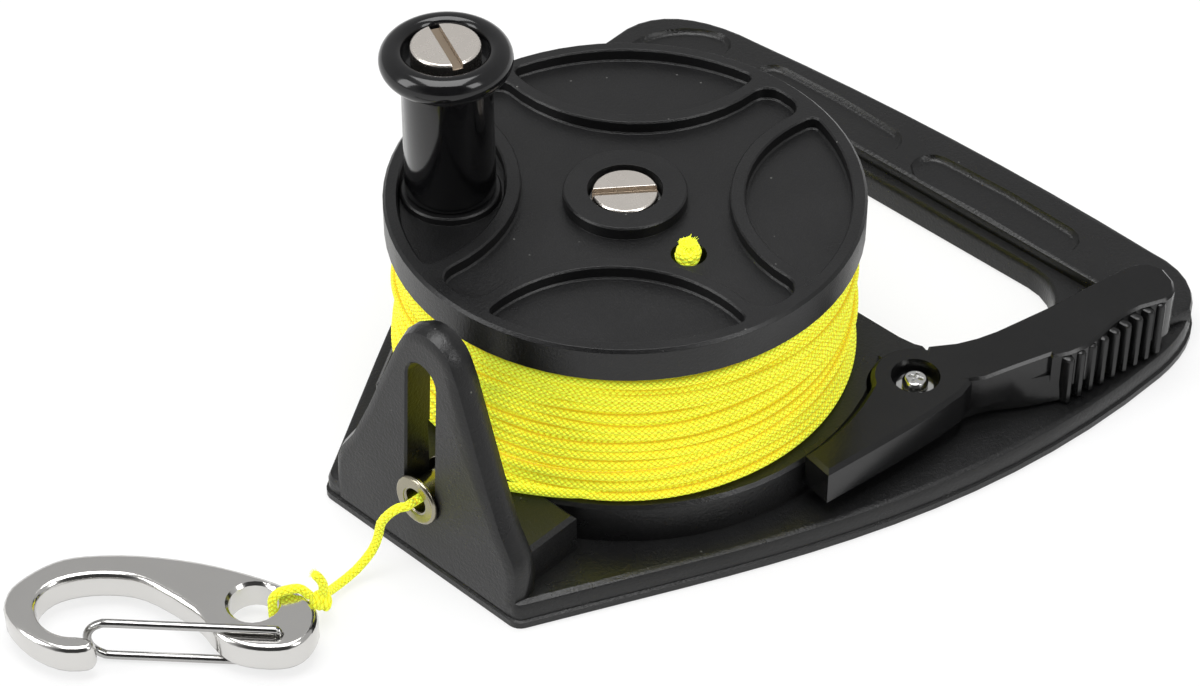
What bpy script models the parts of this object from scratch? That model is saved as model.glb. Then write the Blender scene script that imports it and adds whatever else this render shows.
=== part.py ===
# Dive reel with a D-handle frame, a line spool, a crank grip, a brake lever,
# a sliding line guide and a steel snap hook. Metres, +Z up.
# Origin on the spool axis at the base plane, +X towards the D-handle.
import math

import bmesh
import bpy
from mathutils import Matrix, Vector

# Driving sizes: general
GAP = 0.0003
LINE_RADIUS = 0.0011
ROUND_SHARE = 0.29
ROUND_STEPS = 40
SMALL_STEPS = 24
RIM_STEPS = 72
SMOOTH_ANGLE = math.radians(34)

# Frame outline
FRONT_X = -0.077
FRONT_NEAR_Y = -0.0392
FRONT_FAR_Y = 0.0236
FRONT_CORNER = 0.0036
NEAR_SIDE_PULL_A = (-0.0296, -0.0628)
NEAR_SIDE_PULL_B = (0.0176, -0.0940)
NEAR_CORNER_START = (0.0900, -0.0937)
NEAR_CORNER_PULL_A = (0.1048, -0.0935)
NEAR_CORNER_PULL_B = (0.1188, -0.0882)
NEAR_CORNER_END = (0.1177, -0.0695)
HANDLE_SAGITTA = 0.0025
FAR_CORNER_START = (0.1142, 0.0580)
FAR_CORNER_PULL_A = (0.1134, 0.0770)
FAR_CORNER_PULL_B = (0.1052, 0.0900)
FAR_CORNER_END = (0.0895, 0.0880)
FAR_SIDE_PULL_A = (0.0220, 0.0883)
FAR_SIDE_PULL_B = (-0.0300, 0.0505)

# Frame heights and edges
PLATE_TOP = 0.0073
LIP_TOP = 0.0024
LIP_STEP = 0.0006
PLATE_ROUND = 0.0019
FOOT_CHAMFER = 0.0004
ROOT = 0.0016
BAR_TOP = 0.0103
BAR_INSET = LIP_STEP
BAR_ROUND = 0.0016
BAR_STEP = 0.0034
BAR_NEAR_Y = -0.0695
BAR_FAR_X = 0.0680
BAR_LEVER_CLEAR = 0.0018
BAR_NEAR_BEARING = math.radians(-20)

# Finger opening in the frame
OPENING_NEAR_X = 0.0440
OPENING_FAR_X = 0.0940
OPENING_NEAR_Y = -0.0650
OPENING_FAR_Y = 0.0580
OPENING_CORNER = 0.0150
OPENING_FLARE = 0.0018

# Finger pockets on the handle bar
POCKET_HALF_WIDTH = 0.0056
POCKET_DEPTH = 0.0014
POCKET_X = 0.1042
POCKET_NEAR_SPAN = (-0.0500, -0.0100)
POCKET_FAR_SPAN = (0.0074, 0.0446)
POCKET_BEND_CENTER = (0.0895, 0.0610)
POCKET_BEND_RADIUS = 0.0152
POCKET_BEND_ANGLES = (20, 82)

# Raised deck under the spool
DECK_RADIUS = 0.0616
DECK_FLAT = 0.0522
DECK_FLAT_DIRECTION = math.radians(120)
DECK_TOP = 0.0180
DECK_EDGE = 0.0008
DECK_WING_X = 0.0330
DECK_WING_Y = -0.0570
THRUST_SEAT_RADIUS = 0.0124
THRUST_SEAT_DEPTH = 0.0014

# Line guide tower
TOWER_LEAN = math.radians(3.2)
TOWER_THICK = 0.0080
TOWER_CENTER_Y = -0.0088
TOWER_ROUND = 0.0030
TOWER_PROFILE = (
    (0.0296, 0.0008),
    (0.0296, 0.0148),
    (0.0284, 0.0185),
    (0.0243, 0.0250),
    (0.0194, 0.0362),
    (0.0144, 0.0490),
    (0.0105, 0.0590),
)
TOWER_APEX_RADIUS = 0.0096
TOWER_APEX_CENTER = 0.0586
TOWER_APEX_START = math.radians(21)
SLOT_CENTER_Y = -0.0078
SLOT_HALF_WIDTH = 0.00445
SLOT_BOTTOM = 0.0155
SLOT_TOP = 0.0590
SLOT_EDGE = 0.0005
BLOCK_NEAR_X = -0.0705
BLOCK_FAR_X = -0.0540
BLOCK_HALF_LENGTH = 0.0272
BLOCK_EDGE = 0.0010
BLOCK_ROOT = 0.0021
COLLAR_ROOM = 0.0012

# Sliding eyelet
EYELET_HEIGHT = 0.0200
EYELET_HOLE_RADIUS = 0.0030
EYELET_BARREL_RADIUS = 0.0041
EYELET_FLANGE_RADIUS = 0.0063
EYELET_FLANGE_THICK = 0.0013
EYELET_EDGE = 0.0005
COLLAR_THICK = 0.0013

# Spool
FLANGE_RADIUS = 0.0523
DISC_OVERHANG = 0.0037
DISC_RADIUS = FLANGE_RADIUS + DISC_OVERHANG
DISC_BOTTOM = 0.0513
DISC_TOP = 0.0606
DISC_EDGE = 0.0007
RECESS_DEPTH = 0.0032
RECESS_FLARE = 0.0004
LENS_CENTER = 0.0622
LENS_INNER_RADIUS = 0.0345
LENS_OUTER_RADIUS = 0.0525
LENS_DIRECTION = math.radians(40.7)
LENS_CORNER_SHARE = 0.07
LENS_TIP_SHARES = (0.33, 0.67)
STAR_ARC_RADIUS = 0.0380
STAR_ARM_REACH = 0.0520
STAR_ARM_CORNER = 0.0045
HUB_BOSS_RADIUS = 0.0145
HUB_BORE_RADIUS = 0.0088
HUB_BORE_DEPTH = 0.0044
LINE_HOLE_RADIUS = 0.00415
LINE_HOLE_CENTER = (-0.0042, -0.0238)
FLANGE_BOTTOM = 0.0184
FLANGE_THICK = 0.0018
BARREL_RADIUS = 0.0200
SOCKET_DEPTH = 0.0016
SOCKET_RADIUS = 0.0150

# Line on the spool
CORE_INSET = 0.0005
CORE_RADIUS = FLANGE_RADIUS - CORE_INSET
WINDING_PITCH = 0.00276
WINDING_LOOP_POINTS = 24
WINDING_WAIST = 0.0007
END_BULB_RADIUS = 0.0025
END_BULB_SHARES = (0.6, 0.8, 0.9)
WINDING_BULGE = 0.0058
WINDING_CLEAR = 0.0004
WINDING_BULGE_DIRECTION = math.radians(-146)

# Spindle stack
POST_RADIUS = 0.0065
POST_TOP = 0.0500
INSERT_RADIUS = 0.0042
INSERT_BORE_RADIUS = 0.0028
INSERT_DEPTH = 0.0200
SCREW_SHANK_RADIUS = 0.0025
BUSHING_WALL = 0.0018
THRUST_WASHER_RADIUS = 0.0120
THRUST_WASHER_THICK = 0.0012
CENTER_HEAD_RADIUS = 0.00775
CENTER_HEAD_THICK = 0.0025
CENTER_WASHER_RADIUS = 0.0083
CENTER_WASHER_THICK = 0.0008
CENTER_SLOT_ANGLE = math.radians(-41)
HEAD_SLOT_WIDTH = 0.0024
HEAD_SLOT_DEPTH = 0.0014
HEAD_EDGE = 0.0004

# Crank
CRANK_ORBIT_RADIUS = 0.0404
CRANK_DIRECTION = math.radians(130.5)
CRANK_PAD_RADIUS = 0.0118
CRANK_PAD_DROP = 0.0012
CRANK_FOOT_RADIUS = 0.01065
CRANK_NECK_RADIUS = 0.01045
CRANK_TOP = 0.1002
CRANK_HEAD_RADIUS = 0.01525
CRANK_HEAD_THICK = 0.0070
CRANK_BORE_RADIUS = 0.00965
CRANK_BORE_DEPTH = 0.0042
CRANK_HEAD_SCREW_RADIUS = 0.00805
CRANK_HEAD_SCREW_TOP = 0.1008
CRANK_SLEEVE_RADIUS = 0.0040
CRANK_SLOT_ANGLE = math.radians(65.6)
CRANK_INSERT_DEPTH = 0.0068

# Brake lever
LEVER_PIVOT = (0.0317, -0.0637)
LEVER_TOP = 0.0211
LEVER_BOTTOM = 0.0110
THUMB_BOTTOM = 0.0079
THUMB_RISE = math.tan(math.radians(3.4))
THUMB_RISE_X = 0.0380
THUMB_DEPTH = 0.0068
THUMB_DRAFT = 0.0012
THUMB_EDGE = 0.0006
LEVER_EDGE = 0.0010
LEVER_BOSS_RADIUS = 0.0105
LEVER_POCKET_RADIUS = 0.0114
LEVER_INNER_RADIUS = 0.0624
LEVER_INNER_ANGLES = (-69.4, -95.2)
LEVER_BOSS_ANGLES = (24.0, 146.0)
LEVER_NEAR_EDGE = (
    (-0.0070, -0.0702),
    (0.0074, -0.0724),
    (0.0191, -0.0740),
    (0.0270, -0.0748),
    (0.0349, -0.0752),
    (0.0381, -0.0745),
)
LEVER_BRIDGE = (
    (0.0460, -0.0730),
    (0.0460, -0.0650),
)
THUMB_NEAR_EDGE = (
    (0.0421, -0.0761),
    (0.0495, -0.0790),
    (0.0583, -0.0827),
    (0.0579, -0.0836),
    (0.0614, -0.0859),
    (0.0657, -0.0875),
    (0.0704, -0.0878),
    (0.0760, -0.0874),
    (0.0801, -0.0877),
    (0.0849, -0.0890),
    (0.0888, -0.0910),
    (0.0907, -0.0920),
)
LEVER_END = (
    (0.0928, -0.0921),
    (0.0947, -0.0915),
    (0.0972, -0.0891),
    (0.0989, -0.0849),
    (0.0982, -0.0814),
    (0.0964, -0.0793),
    (0.0933, -0.0776),
)
LEVER_FAR_EDGE = (
    (0.0860, -0.0758),
    (0.0784, -0.0741),
    (0.0705, -0.0723),
    (0.0563, -0.0681),
    (0.0514, -0.0661),
    (0.0470, -0.0636),
    (0.0419, -0.0593),
)
THUMB_ROOT = (
    (0.0360, -0.0620),
    (0.0360, -0.0710),
)
THUMB_WALL = (
    (0.0386, -0.0729),
    (0.0444, -0.0754),
    (0.0523, -0.0813),
    (0.0596, -0.0856),
    (0.0657, -0.0870),
    (0.0760, -0.0869),
    (0.0849, -0.0885),
    (0.0918, -0.0910),
    (0.0950, -0.0898),
)
RIB_COUNT = 9
RIB_RADIUS = 0.00125
RIB_DOME = 0.0009
RIB_DROP = 0.0009
RIB_FIRST = (0.0611, -0.0863)
RIB_LAST = (0.0898, -0.0913)
RIB_BACK = 0.0034
LEVER_BORE_RADIUS = 0.0029
LEVER_COUNTERBORE_RADIUS = 0.00585
LEVER_COUNTERBORE_DEPTH = 0.0042
LEVER_BOSS_TOP = 0.0107
LEVER_POST_RADIUS = 0.0072
LEVER_POST_CLEAR = 0.0012
LEVER_INSERT_RADIUS = 0.0027
LEVER_INSERT_BORE = 0.0016
LEVER_INSERT_DEPTH = 0.0070
LEVER_SCREW_SHANK = 0.0013
LEVER_SCREW_HEAD = 0.0031
LEVER_SCREW_HEAD_THICK = 0.0022
LEVER_CROSS_WIDTH = 0.0009
LEVER_CROSS_LENGTH = 0.0036
LEVER_CROSS_ANGLE = math.radians(20)
LEVER_HEAD_SHARES = (0.8, 0.5)
LEVER_WASHER_RADIUS = 0.0045
LEVER_WASHER_THICK = 0.0006
SPRING_POCKET_RADIUS = 0.0068
SPRING_POCKET_CORE = 0.0041
SPRING_POCKET_DEPTH = 0.0040
SPRING_COIL_RADIUS = 0.0055
SPRING_WIRE_RADIUS = 0.0004
SPRING_PITCH = 0.0013
SPRING_TURNS = 2

# Snap hook
HOOK_MIDDLE = 0.0065
HOOK_THICK = 0.0076
HOOK_ROUND = 0.0015
HOOK_EYE_CENTER = (-0.1176, 0.0028)
HOOK_EYE_RADIUS = 0.0057
HOOK_EYE_FLARE = 0.0007
HOOK_OUTER = (
    (-0.1496, 0.0195),
    (-0.1527, 0.0188),
    (-0.1573, 0.0238),
    (-0.1592, 0.0322),
    (-0.1578, 0.0407),
    (-0.1535, 0.0452),
    (-0.1477, 0.0463),
    (-0.1400, 0.0452),
    (-0.1337, 0.0415),
    (-0.1251, 0.0327),
    (-0.1173, 0.0212),
    (-0.1120, 0.0101),
    (-0.1091, 0.0015),
    (-0.1083, -0.0062),
    (-0.1110, -0.0112),
    (-0.1163, -0.0138),
    (-0.1216, -0.0130),
    (-0.1265, -0.0083),
    (-0.1295, -0.0025),
    (-0.1296, 0.0030),
)
HOOK_INNER = (
    (-0.1284, 0.0090),
    (-0.1287, 0.0165),
    (-0.1303, 0.0260),
    (-0.1340, 0.0321),
    (-0.1395, 0.0371),
    (-0.1450, 0.0395),
    (-0.1502, 0.0385),
    (-0.1533, 0.0350),
    (-0.1542, 0.0303),
    (-0.1531, 0.0262),
    (-0.1505, 0.0228),
)
GATE_WIRE_RADIUS = 0.0010
GATE_HINGE = (-0.1205, -0.0085)
GATE_TIP = (-0.1482, 0.0242)
GATE_BEND_STEPS = 8
GATE_BEND = 0.0013
GATE_BEND_SHARES = (0.5, 0.3, 0.12)
GATE_HOLE_DEPTH = 0.0026

# Free line, knot and loop
FREE_LINE_ROUTE = (
    (-0.0812, -0.0066, 0.0199),
    (-0.0829, -0.0050, 0.0180),
    (-0.0838, -0.0032, 0.0145),
    (-0.0843, -0.0026, 0.0105),
    (-0.0860, -0.0021, 0.0066),
    (-0.0905, -0.0014, 0.0032),
    (-0.0962, -0.0014, 0.0026),
    (-0.1000, -0.0024, 0.0040),
)
KNOT_TAIL_TILT = (math.radians(-10), math.radians(6), 0.0)
KNOT_CENTER = (-0.1047, -0.0047, 0.0064)
KNOT_RADIUS = 0.0024
KNOT_TAIL = 0.0072
LOOP_CLEAR = 0.0004
LOOP_ENTRY = math.radians(152)
LOOP_START_SHARE = 0.74
EYE_RIM_WIDTH = 0.0048


def material(name, color, metallic, roughness):
    made = bpy.data.materials.new(name)
    made.use_nodes = True
    shader = made.node_tree.nodes["Principled BSDF"]
    shader.inputs["Base Color"].default_value = (*color, 1.0)
    shader.inputs["Metallic"].default_value = metallic
    shader.inputs["Roughness"].default_value = roughness
    made.diffuse_color = (*color, 1.0)
    return made


def add_object(name, mesh_builder, surface, location=(0.0, 0.0, 0.0)):
    mesh = bpy.data.meshes.new(name)
    bmesh.ops.recalc_face_normals(mesh_builder, faces=mesh_builder.faces)
    mesh_builder.to_mesh(mesh)
    mesh_builder.free()
    made = bpy.data.objects.new(name, mesh)
    made.location = location
    bpy.context.scene.collection.objects.link(made)
    if surface is not None:
        mesh.materials.append(surface)
    return made


def smooth(made):
    mesh = made.data
    mesh.shade_smooth()
    mesh.set_sharp_from_angle(angle=SMOOTH_ANGLE)
    return made


def as_tool(made):
    made.hide_render = True
    made.display_type = "WIRE"
    return made


def combine(made, tool, operation):
    as_tool(tool)
    step = made.modifiers.new(operation.title(), "BOOLEAN")
    step.operation = operation
    step.solver = "EXACT"
    step.object = tool
    return made


def join_in(made, tool):
    return combine(made, tool, "UNION")


def cut_by(made, tool):
    return combine(made, tool, "DIFFERENCE")


def offset_outline(outline, amount):
    count = len(outline)
    moved = []
    for index in range(count):
        before = Vector(outline[index - 1])
        here = Vector(outline[index])
        after = Vector(outline[(index + 1) % count])
        side_in = (here - before).normalized()
        side_out = (after - here).normalized()
        normal_in = Vector((side_in.y, -side_in.x))
        normal_out = Vector((side_out.y, -side_out.x))
        middle = (normal_in + normal_out).normalized()
        reach = amount / max(middle.dot(normal_in), 0.5)
        moved.append(here + middle * reach)
    return moved


def signed_area(outline):
    total = 0.0
    for index, point in enumerate(outline):
        other = outline[index - 1]
        total += other[0] * point[1] - point[0] * other[1]
    return total / 2


def loft(outline, levels):
    if signed_area(outline) < 0:
        outline = list(reversed(outline))
    builder = bmesh.new()
    rings = []
    for grow, height in levels:
        ring = offset_outline(outline, grow)
        rings.append([builder.verts.new((p[0], p[1], height)) for p in ring])
    count = len(outline)
    for lower, upper in zip(rings, rings[1:]):
        for index in range(count):
            after = (index + 1) % count
            builder.faces.new((lower[index], lower[after], upper[after], upper[index]))
    builder.faces.new(list(reversed(rings[0])))
    builder.faces.new(rings[-1])
    return builder


def revolve(profile, steps):
    builder = bmesh.new()
    touches_axis = profile[0][0] == 0.0
    rings = []
    for radius, height in profile:
        if radius == 0.0:
            rings.append([builder.verts.new((0.0, 0.0, height))])
            continue
        ring = []
        for step in range(steps):
            turn = 2 * math.pi * step / steps
            ring.append(builder.verts.new((radius * math.cos(turn), radius * math.sin(turn), height)))
        rings.append(ring)
    pairs = list(zip(rings, rings[1:]))
    if not touches_axis:
        pairs.append((rings[-1], rings[0]))
    for first, second in pairs:
        for step in range(steps):
            after = (step + 1) % steps
            if len(first) == 1:
                builder.faces.new((first[0], second[step], second[after]))
            elif len(second) == 1:
                builder.faces.new((first[step], first[after], second[0]))
            else:
                builder.faces.new((first[step], first[after], second[after], second[step]))
    return builder


def washer_profile(inner, outer, bottom, top, edge=0.0):
    if edge == 0.0:
        return [(inner, bottom), (outer, bottom), (outer, top), (inner, top)]
    return [
        (inner, bottom),
        (outer - edge, bottom),
        (outer, bottom + edge),
        (outer, top - edge),
        (outer - edge, top),
        (inner, top),
    ]


def plug_profile(radius, bottom, top, edge=0.0):
    if edge == 0.0:
        return [(0.0, bottom), (radius, bottom), (radius, top), (0.0, top)]
    return [(0.0, bottom), (radius, bottom), (radius, top - edge), (radius - edge, top), (0.0, top)]


def circle_outline(center, radius, steps):
    points = []
    for step in range(steps):
        turn = 2 * math.pi * step / steps
        points.append((center[0] + radius * math.cos(turn), center[1] + radius * math.sin(turn)))
    return points


def arc_outline(center, radius, start, end, steps):
    points = []
    for step in range(steps + 1):
        turn = start + (end - start) * step / steps
        points.append((center[0] + radius * math.cos(turn), center[1] + radius * math.sin(turn)))
    return points


def bowed_edge(start, end, sagitta, steps):
    first = Vector(start)
    last = Vector(end)
    along = last - first
    side = Vector((along.y, -along.x)).normalized()
    points = []
    for step in range(steps + 1):
        share = step / steps
        rise = 4 * share * (1 - share) * sagitta
        points.append(first + along * share + side * rise)
    return points


def bezier_edge(start, pull_a, pull_b, end, steps):
    corners = [Vector(p) for p in (start, pull_a, pull_b, end)]
    points = []
    for step in range(steps + 1):
        t = step / steps
        weights = ((1 - t) ** 3, 3 * t * (1 - t) ** 2, 3 * t * t * (1 - t), t ** 3)
        points.append(sum((c * w for c, w in zip(corners, weights)), Vector((0.0, 0.0))))
    return points


def rounded_corner(before, corner, after, radius, steps):
    here = Vector(corner)
    to_before = (Vector(before) - here).normalized()
    to_after = (Vector(after) - here).normalized()
    half = to_before.angle(to_after) / 2
    run = radius / math.tan(half)
    start = here + to_before * run
    end = here + to_after * run
    center = here + (to_before + to_after).normalized() * (radius / math.sin(half))
    first = math.atan2(start.y - center.y, start.x - center.x)
    last = math.atan2(end.y - center.y, end.x - center.x)
    turn = (last - first + math.pi) % (2 * math.pi) - math.pi
    return arc_outline(center, radius, first, first + turn, steps)


def rounded_polygon(corners, radius, steps):
    points = []
    count = len(corners)
    for index in range(count):
        after = corners[(index + 1) % count]
        points += rounded_corner(corners[index - 1], corners[index], after, radius, steps)
    return points


def band_outline(path, half_width, end_steps):
    left = []
    right = []
    for index, point in enumerate(path):
        before = Vector(path[max(index - 1, 0)])
        after = Vector(path[min(index + 1, len(path) - 1)])
        along = (after - before).normalized()
        side = Vector((along.y, -along.x))
        right.append(Vector(point) + side * half_width)
        left.append(Vector(point) - side * half_width)
    first_along = (Vector(path[1]) - Vector(path[0])).normalized()
    last_along = (Vector(path[-1]) - Vector(path[-2])).normalized()
    first_turn = math.atan2(first_along.y, first_along.x)
    last_turn = math.atan2(last_along.y, last_along.x)
    quarter = math.pi / 2
    end_cap = arc_outline(path[-1], half_width, last_turn - quarter, last_turn + quarter, end_steps)
    start_cap = arc_outline(path[0], half_width, first_turn + quarter, first_turn + 3 * quarter, end_steps)
    return right[:-1] + end_cap + list(reversed(left))[1:-1] + start_cap[:-1]


def smooth_path(route, steps):
    points = [Vector(p) for p in route]
    padded = [points[0] * 2 - points[1]] + points + [points[-1] * 2 - points[-2]]
    result = []
    for index in range(len(points) - 1):
        p0, p1, p2, p3 = padded[index:index + 4]
        for step in range(steps):
            t = step / steps
            curve = p1 * 2 + (p2 - p0) * t
            curve += (p0 * 2 - p1 * 5 + p2 * 4 - p3) * t * t
            curve += (p1 * 3 - p0 - p2 * 3 + p3) * t ** 3
            result.append(curve * 0.5)
    result.append(points[-1])
    return result


def closed_path(route, steps):
    points = [Vector(p) for p in route]
    count = len(points)
    result = []
    for index in range(count):
        p0 = points[index - 1]
        p1 = points[index]
        p2 = points[(index + 1) % count]
        p3 = points[(index + 2) % count]
        for step in range(steps):
            t = step / steps
            curve = p1 * 2 + (p2 - p0) * t
            curve += (p0 * 2 - p1 * 5 + p2 * 4 - p3) * t * t
            curve += (p1 * 3 - p0 - p2 * 3 + p3) * t ** 3
            result.append(curve * 0.5)
    return result


def tube(name, path, radius, sides_resolution, surface, location=(0.0, 0.0, 0.0)):
    curve = bpy.data.curves.new(name, "CURVE")
    curve.dimensions = "3D"
    curve.bevel_depth = radius
    curve.bevel_resolution = sides_resolution
    curve.use_fill_caps = True
    curve.resolution_u = 1
    spline = curve.splines.new("POLY")
    spline.points.add(len(path) - 1)
    for slot, point in zip(spline.points, path):
        slot.co = (*point, 1.0)
    curve.materials.append(surface)
    made = bpy.data.objects.new(name, curve)
    made.location = location
    bpy.context.scene.collection.objects.link(made)
    return made


def box_tool(name, low, high):
    builder = bmesh.new()
    bmesh.ops.create_cube(builder, size=1.0)
    size = [b - a for a, b in zip(low, high)]
    middle = [(a + b) / 2 for a, b in zip(low, high)]
    for vertex in builder.verts:
        vertex.co = [m + c * s for m, c, s in zip(middle, vertex.co, size)]
    return as_tool(add_object(name, builder, None))


def plug_tool(name, center, radius, bottom, top, steps=ROUND_STEPS):
    builder = revolve(plug_profile(radius, bottom, top), steps)
    return as_tool(add_object(name, builder, None, (center[0], center[1], 0.0)))


def stepped_tool(name, center, stages, steps=ROUND_STEPS):
    # One round cutter whose radius changes at each height, listed upwards.
    profile = [(0.0, stages[0][1])]
    for radius, bottom, top in stages:
        profile += [(radius, bottom), (radius, top)]
    profile.append((0.0, stages[-1][2]))
    return as_tool(add_object(name, revolve(profile, steps), None, (center[0], center[1], 0.0)))


def slot_tool(name, center, length, width, bottom, top, angle):
    made = box_tool(name, (-length / 2, -width / 2, bottom), (length / 2, width / 2, top))
    made.location = (center[0], center[1], 0.0)
    made.rotation_euler = (0.0, 0.0, angle)
    return made


def polar(radius, angle):
    return (radius * math.cos(angle), radius * math.sin(angle))


CRANK_AXIS = polar(CRANK_ORBIT_RADIUS, CRANK_DIRECTION)
CRANK_FOOT = DISC_TOP - CRANK_PAD_DROP + GAP
HANDLE_OPENING = (
    (OPENING_NEAR_X, OPENING_NEAR_Y),
    (OPENING_FAR_X, OPENING_NEAR_Y),
    (OPENING_FAR_X, OPENING_FAR_Y),
    (OPENING_NEAR_X, OPENING_FAR_Y),
)


def frame_outline():
    near_front = (FRONT_X, FRONT_NEAR_Y)
    far_front = (FRONT_X, FRONT_FAR_Y)
    near_side = bezier_edge(near_front, NEAR_SIDE_PULL_A, NEAR_SIDE_PULL_B, NEAR_CORNER_START, 16)
    far_side = bezier_edge(FAR_CORNER_END, FAR_SIDE_PULL_A, FAR_SIDE_PULL_B, far_front, 16)
    outline = rounded_corner(far_front, near_front, near_side[1], FRONT_CORNER, 4)
    outline += near_side[1:-1]
    outline += bezier_edge(
        NEAR_CORNER_START, NEAR_CORNER_PULL_A, NEAR_CORNER_PULL_B, NEAR_CORNER_END, 10
    )
    outline += bowed_edge(NEAR_CORNER_END, FAR_CORNER_START, HANDLE_SAGITTA, 8)[1:-1]
    outline += bezier_edge(
        FAR_CORNER_START, FAR_CORNER_PULL_A, FAR_CORNER_PULL_B, FAR_CORNER_END, 10
    )
    outline += far_side[1:-1]
    outline += rounded_corner(far_side[-2], far_front, near_front, FRONT_CORNER, 4)
    return outline


def plate_levels():
    wall = -LIP_STEP
    return [
        (-FOOT_CHAMFER, 0.0),
        (0.0, FOOT_CHAMFER),
        (0.0, LIP_TOP - LIP_STEP / 2),
        (wall, LIP_TOP),
        (wall, PLATE_TOP - PLATE_ROUND),
        (wall - PLATE_ROUND * ROUND_SHARE, PLATE_TOP - PLATE_ROUND * ROUND_SHARE),
        (wall - PLATE_ROUND, PLATE_TOP),
    ]


def handle_bar_outline():
    # The bar fills the handle out to its edge and ends in an arc that leaves
    # the brake lever its room.
    pivot = Vector(LEVER_PIVOT)
    reach = max((Vector(point) - pivot).length for point in LEVER_END) + BAR_LEVER_CLEAR
    outer = []
    for point in offset_outline(frame_outline(), -BAR_INSET):
        bearing = math.atan2(point.y - pivot.y, point.x - pivot.x)
        on_handle = point.x > OPENING_FAR_X and bearing > BAR_NEAR_BEARING
        if on_handle or (point.y > OPENING_FAR_Y and point.x > BAR_FAR_X):
            outer.append(point)
    inner_x = OPENING_FAR_X + BAR_STEP
    inner_y = OPENING_FAR_Y + BAR_STEP
    inner = rounded_corner(
        (OPENING_NEAR_X, inner_y), (inner_x, inner_y), (inner_x, OPENING_NEAR_Y),
        OPENING_CORNER + BAR_STEP, 6,
    )
    room_start = math.asin((BAR_NEAR_Y - pivot.y) / reach)
    room = arc_outline(pivot, reach, room_start, BAR_NEAR_BEARING, 6)
    return outer + [(BAR_FAR_X, inner_y)] + inner + [(inner_x, BAR_NEAR_Y)] + room


def bar_levels():
    return [
        (0.0, ROOT),
        (0.0, BAR_TOP - BAR_ROUND),
        (-BAR_ROUND * ROUND_SHARE, BAR_TOP - BAR_ROUND * ROUND_SHARE),
        (-BAR_ROUND, BAR_TOP),
    ]


def deck_outline():
    # The round deck runs on past the lever pivot to the finger opening.
    edge_x = OPENING_NEAR_X + OPENING_FLARE * 3
    wing_start = -math.acos(edge_x / DECK_RADIUS)
    wing_end = 2 * math.pi - math.acos(DECK_WING_X / DECK_RADIUS)
    half_flat = math.acos(DECK_FLAT / DECK_RADIUS)
    flat_start = DECK_FLAT_DIRECTION - half_flat
    flat_end = DECK_FLAT_DIRECTION + half_flat
    outline = arc_outline((0.0, 0.0), DECK_RADIUS, wing_start, flat_start, 18)
    outline += arc_outline((0.0, 0.0), DECK_RADIUS, flat_end, wing_end, 24)
    return outline + [(DECK_WING_X, DECK_WING_Y), (edge_x, DECK_WING_Y)]


def finger_pocket(name, path):
    bottom = BAR_TOP - POCKET_DEPTH
    outline = band_outline(path, POCKET_HALF_WIDTH, 6)
    levels = [(-POCKET_DEPTH, bottom), (-POCKET_DEPTH / 3, bottom + POCKET_DEPTH / 3), (GAP, BAR_TOP + GAP)]
    return as_tool(add_object(name, loft(outline, levels), None))


def tower_outline():
    near = []
    for half, height in TOWER_PROFILE:
        near.append((TOWER_CENTER_Y - half, height))
    top_center = (TOWER_CENTER_Y, TOWER_APEX_CENTER)
    first = math.pi - TOWER_APEX_START
    apex = arc_outline(top_center, TOWER_APEX_RADIUS, first, TOWER_APEX_START, 10)
    far = [(2 * TOWER_CENTER_Y - y, z) for y, z in reversed(near)]
    return near + apex + far


def stand_up(made):
    # Turns a flat outline (Y, Z) into the leaning plane of the guide tower.
    upright = Matrix(((0.0, 0.0, 1.0), (1.0, 0.0, 0.0), (0.0, 1.0, 0.0))).to_4x4()
    lean = Matrix.Rotation(TOWER_LEAN, 4, "Y")
    made.matrix_world = Matrix.Translation((FRONT_X, 0.0, 0.0)) @ lean @ upright
    return made


def tower_levels():
    soft = TOWER_ROUND
    return [
        (-soft, 0.0),
        (-soft * ROUND_SHARE, soft * ROUND_SHARE),
        (0.0, soft),
        (0.0, TOWER_THICK - soft),
        (-soft * ROUND_SHARE, TOWER_THICK - soft * ROUND_SHARE),
        (-soft, TOWER_THICK),
    ]


def guide_slot_tool():
    low = (SLOT_CENTER_Y, SLOT_BOTTOM + SLOT_HALF_WIDTH)
    high = (SLOT_CENTER_Y, SLOT_TOP - SLOT_HALF_WIDTH)
    outline = band_outline([low, high], SLOT_HALF_WIDTH, 10)
    beyond = SLOT_EDGE * 2
    levels = [
        (SLOT_EDGE + beyond, -beyond),
        (0.0, SLOT_EDGE),
        (0.0, TOWER_THICK - SLOT_EDGE),
        (SLOT_EDGE + beyond, TOWER_THICK + beyond),
    ]
    return as_tool(stand_up(add_object("tool_guide_slot", loft(outline, levels), None)))


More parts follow.
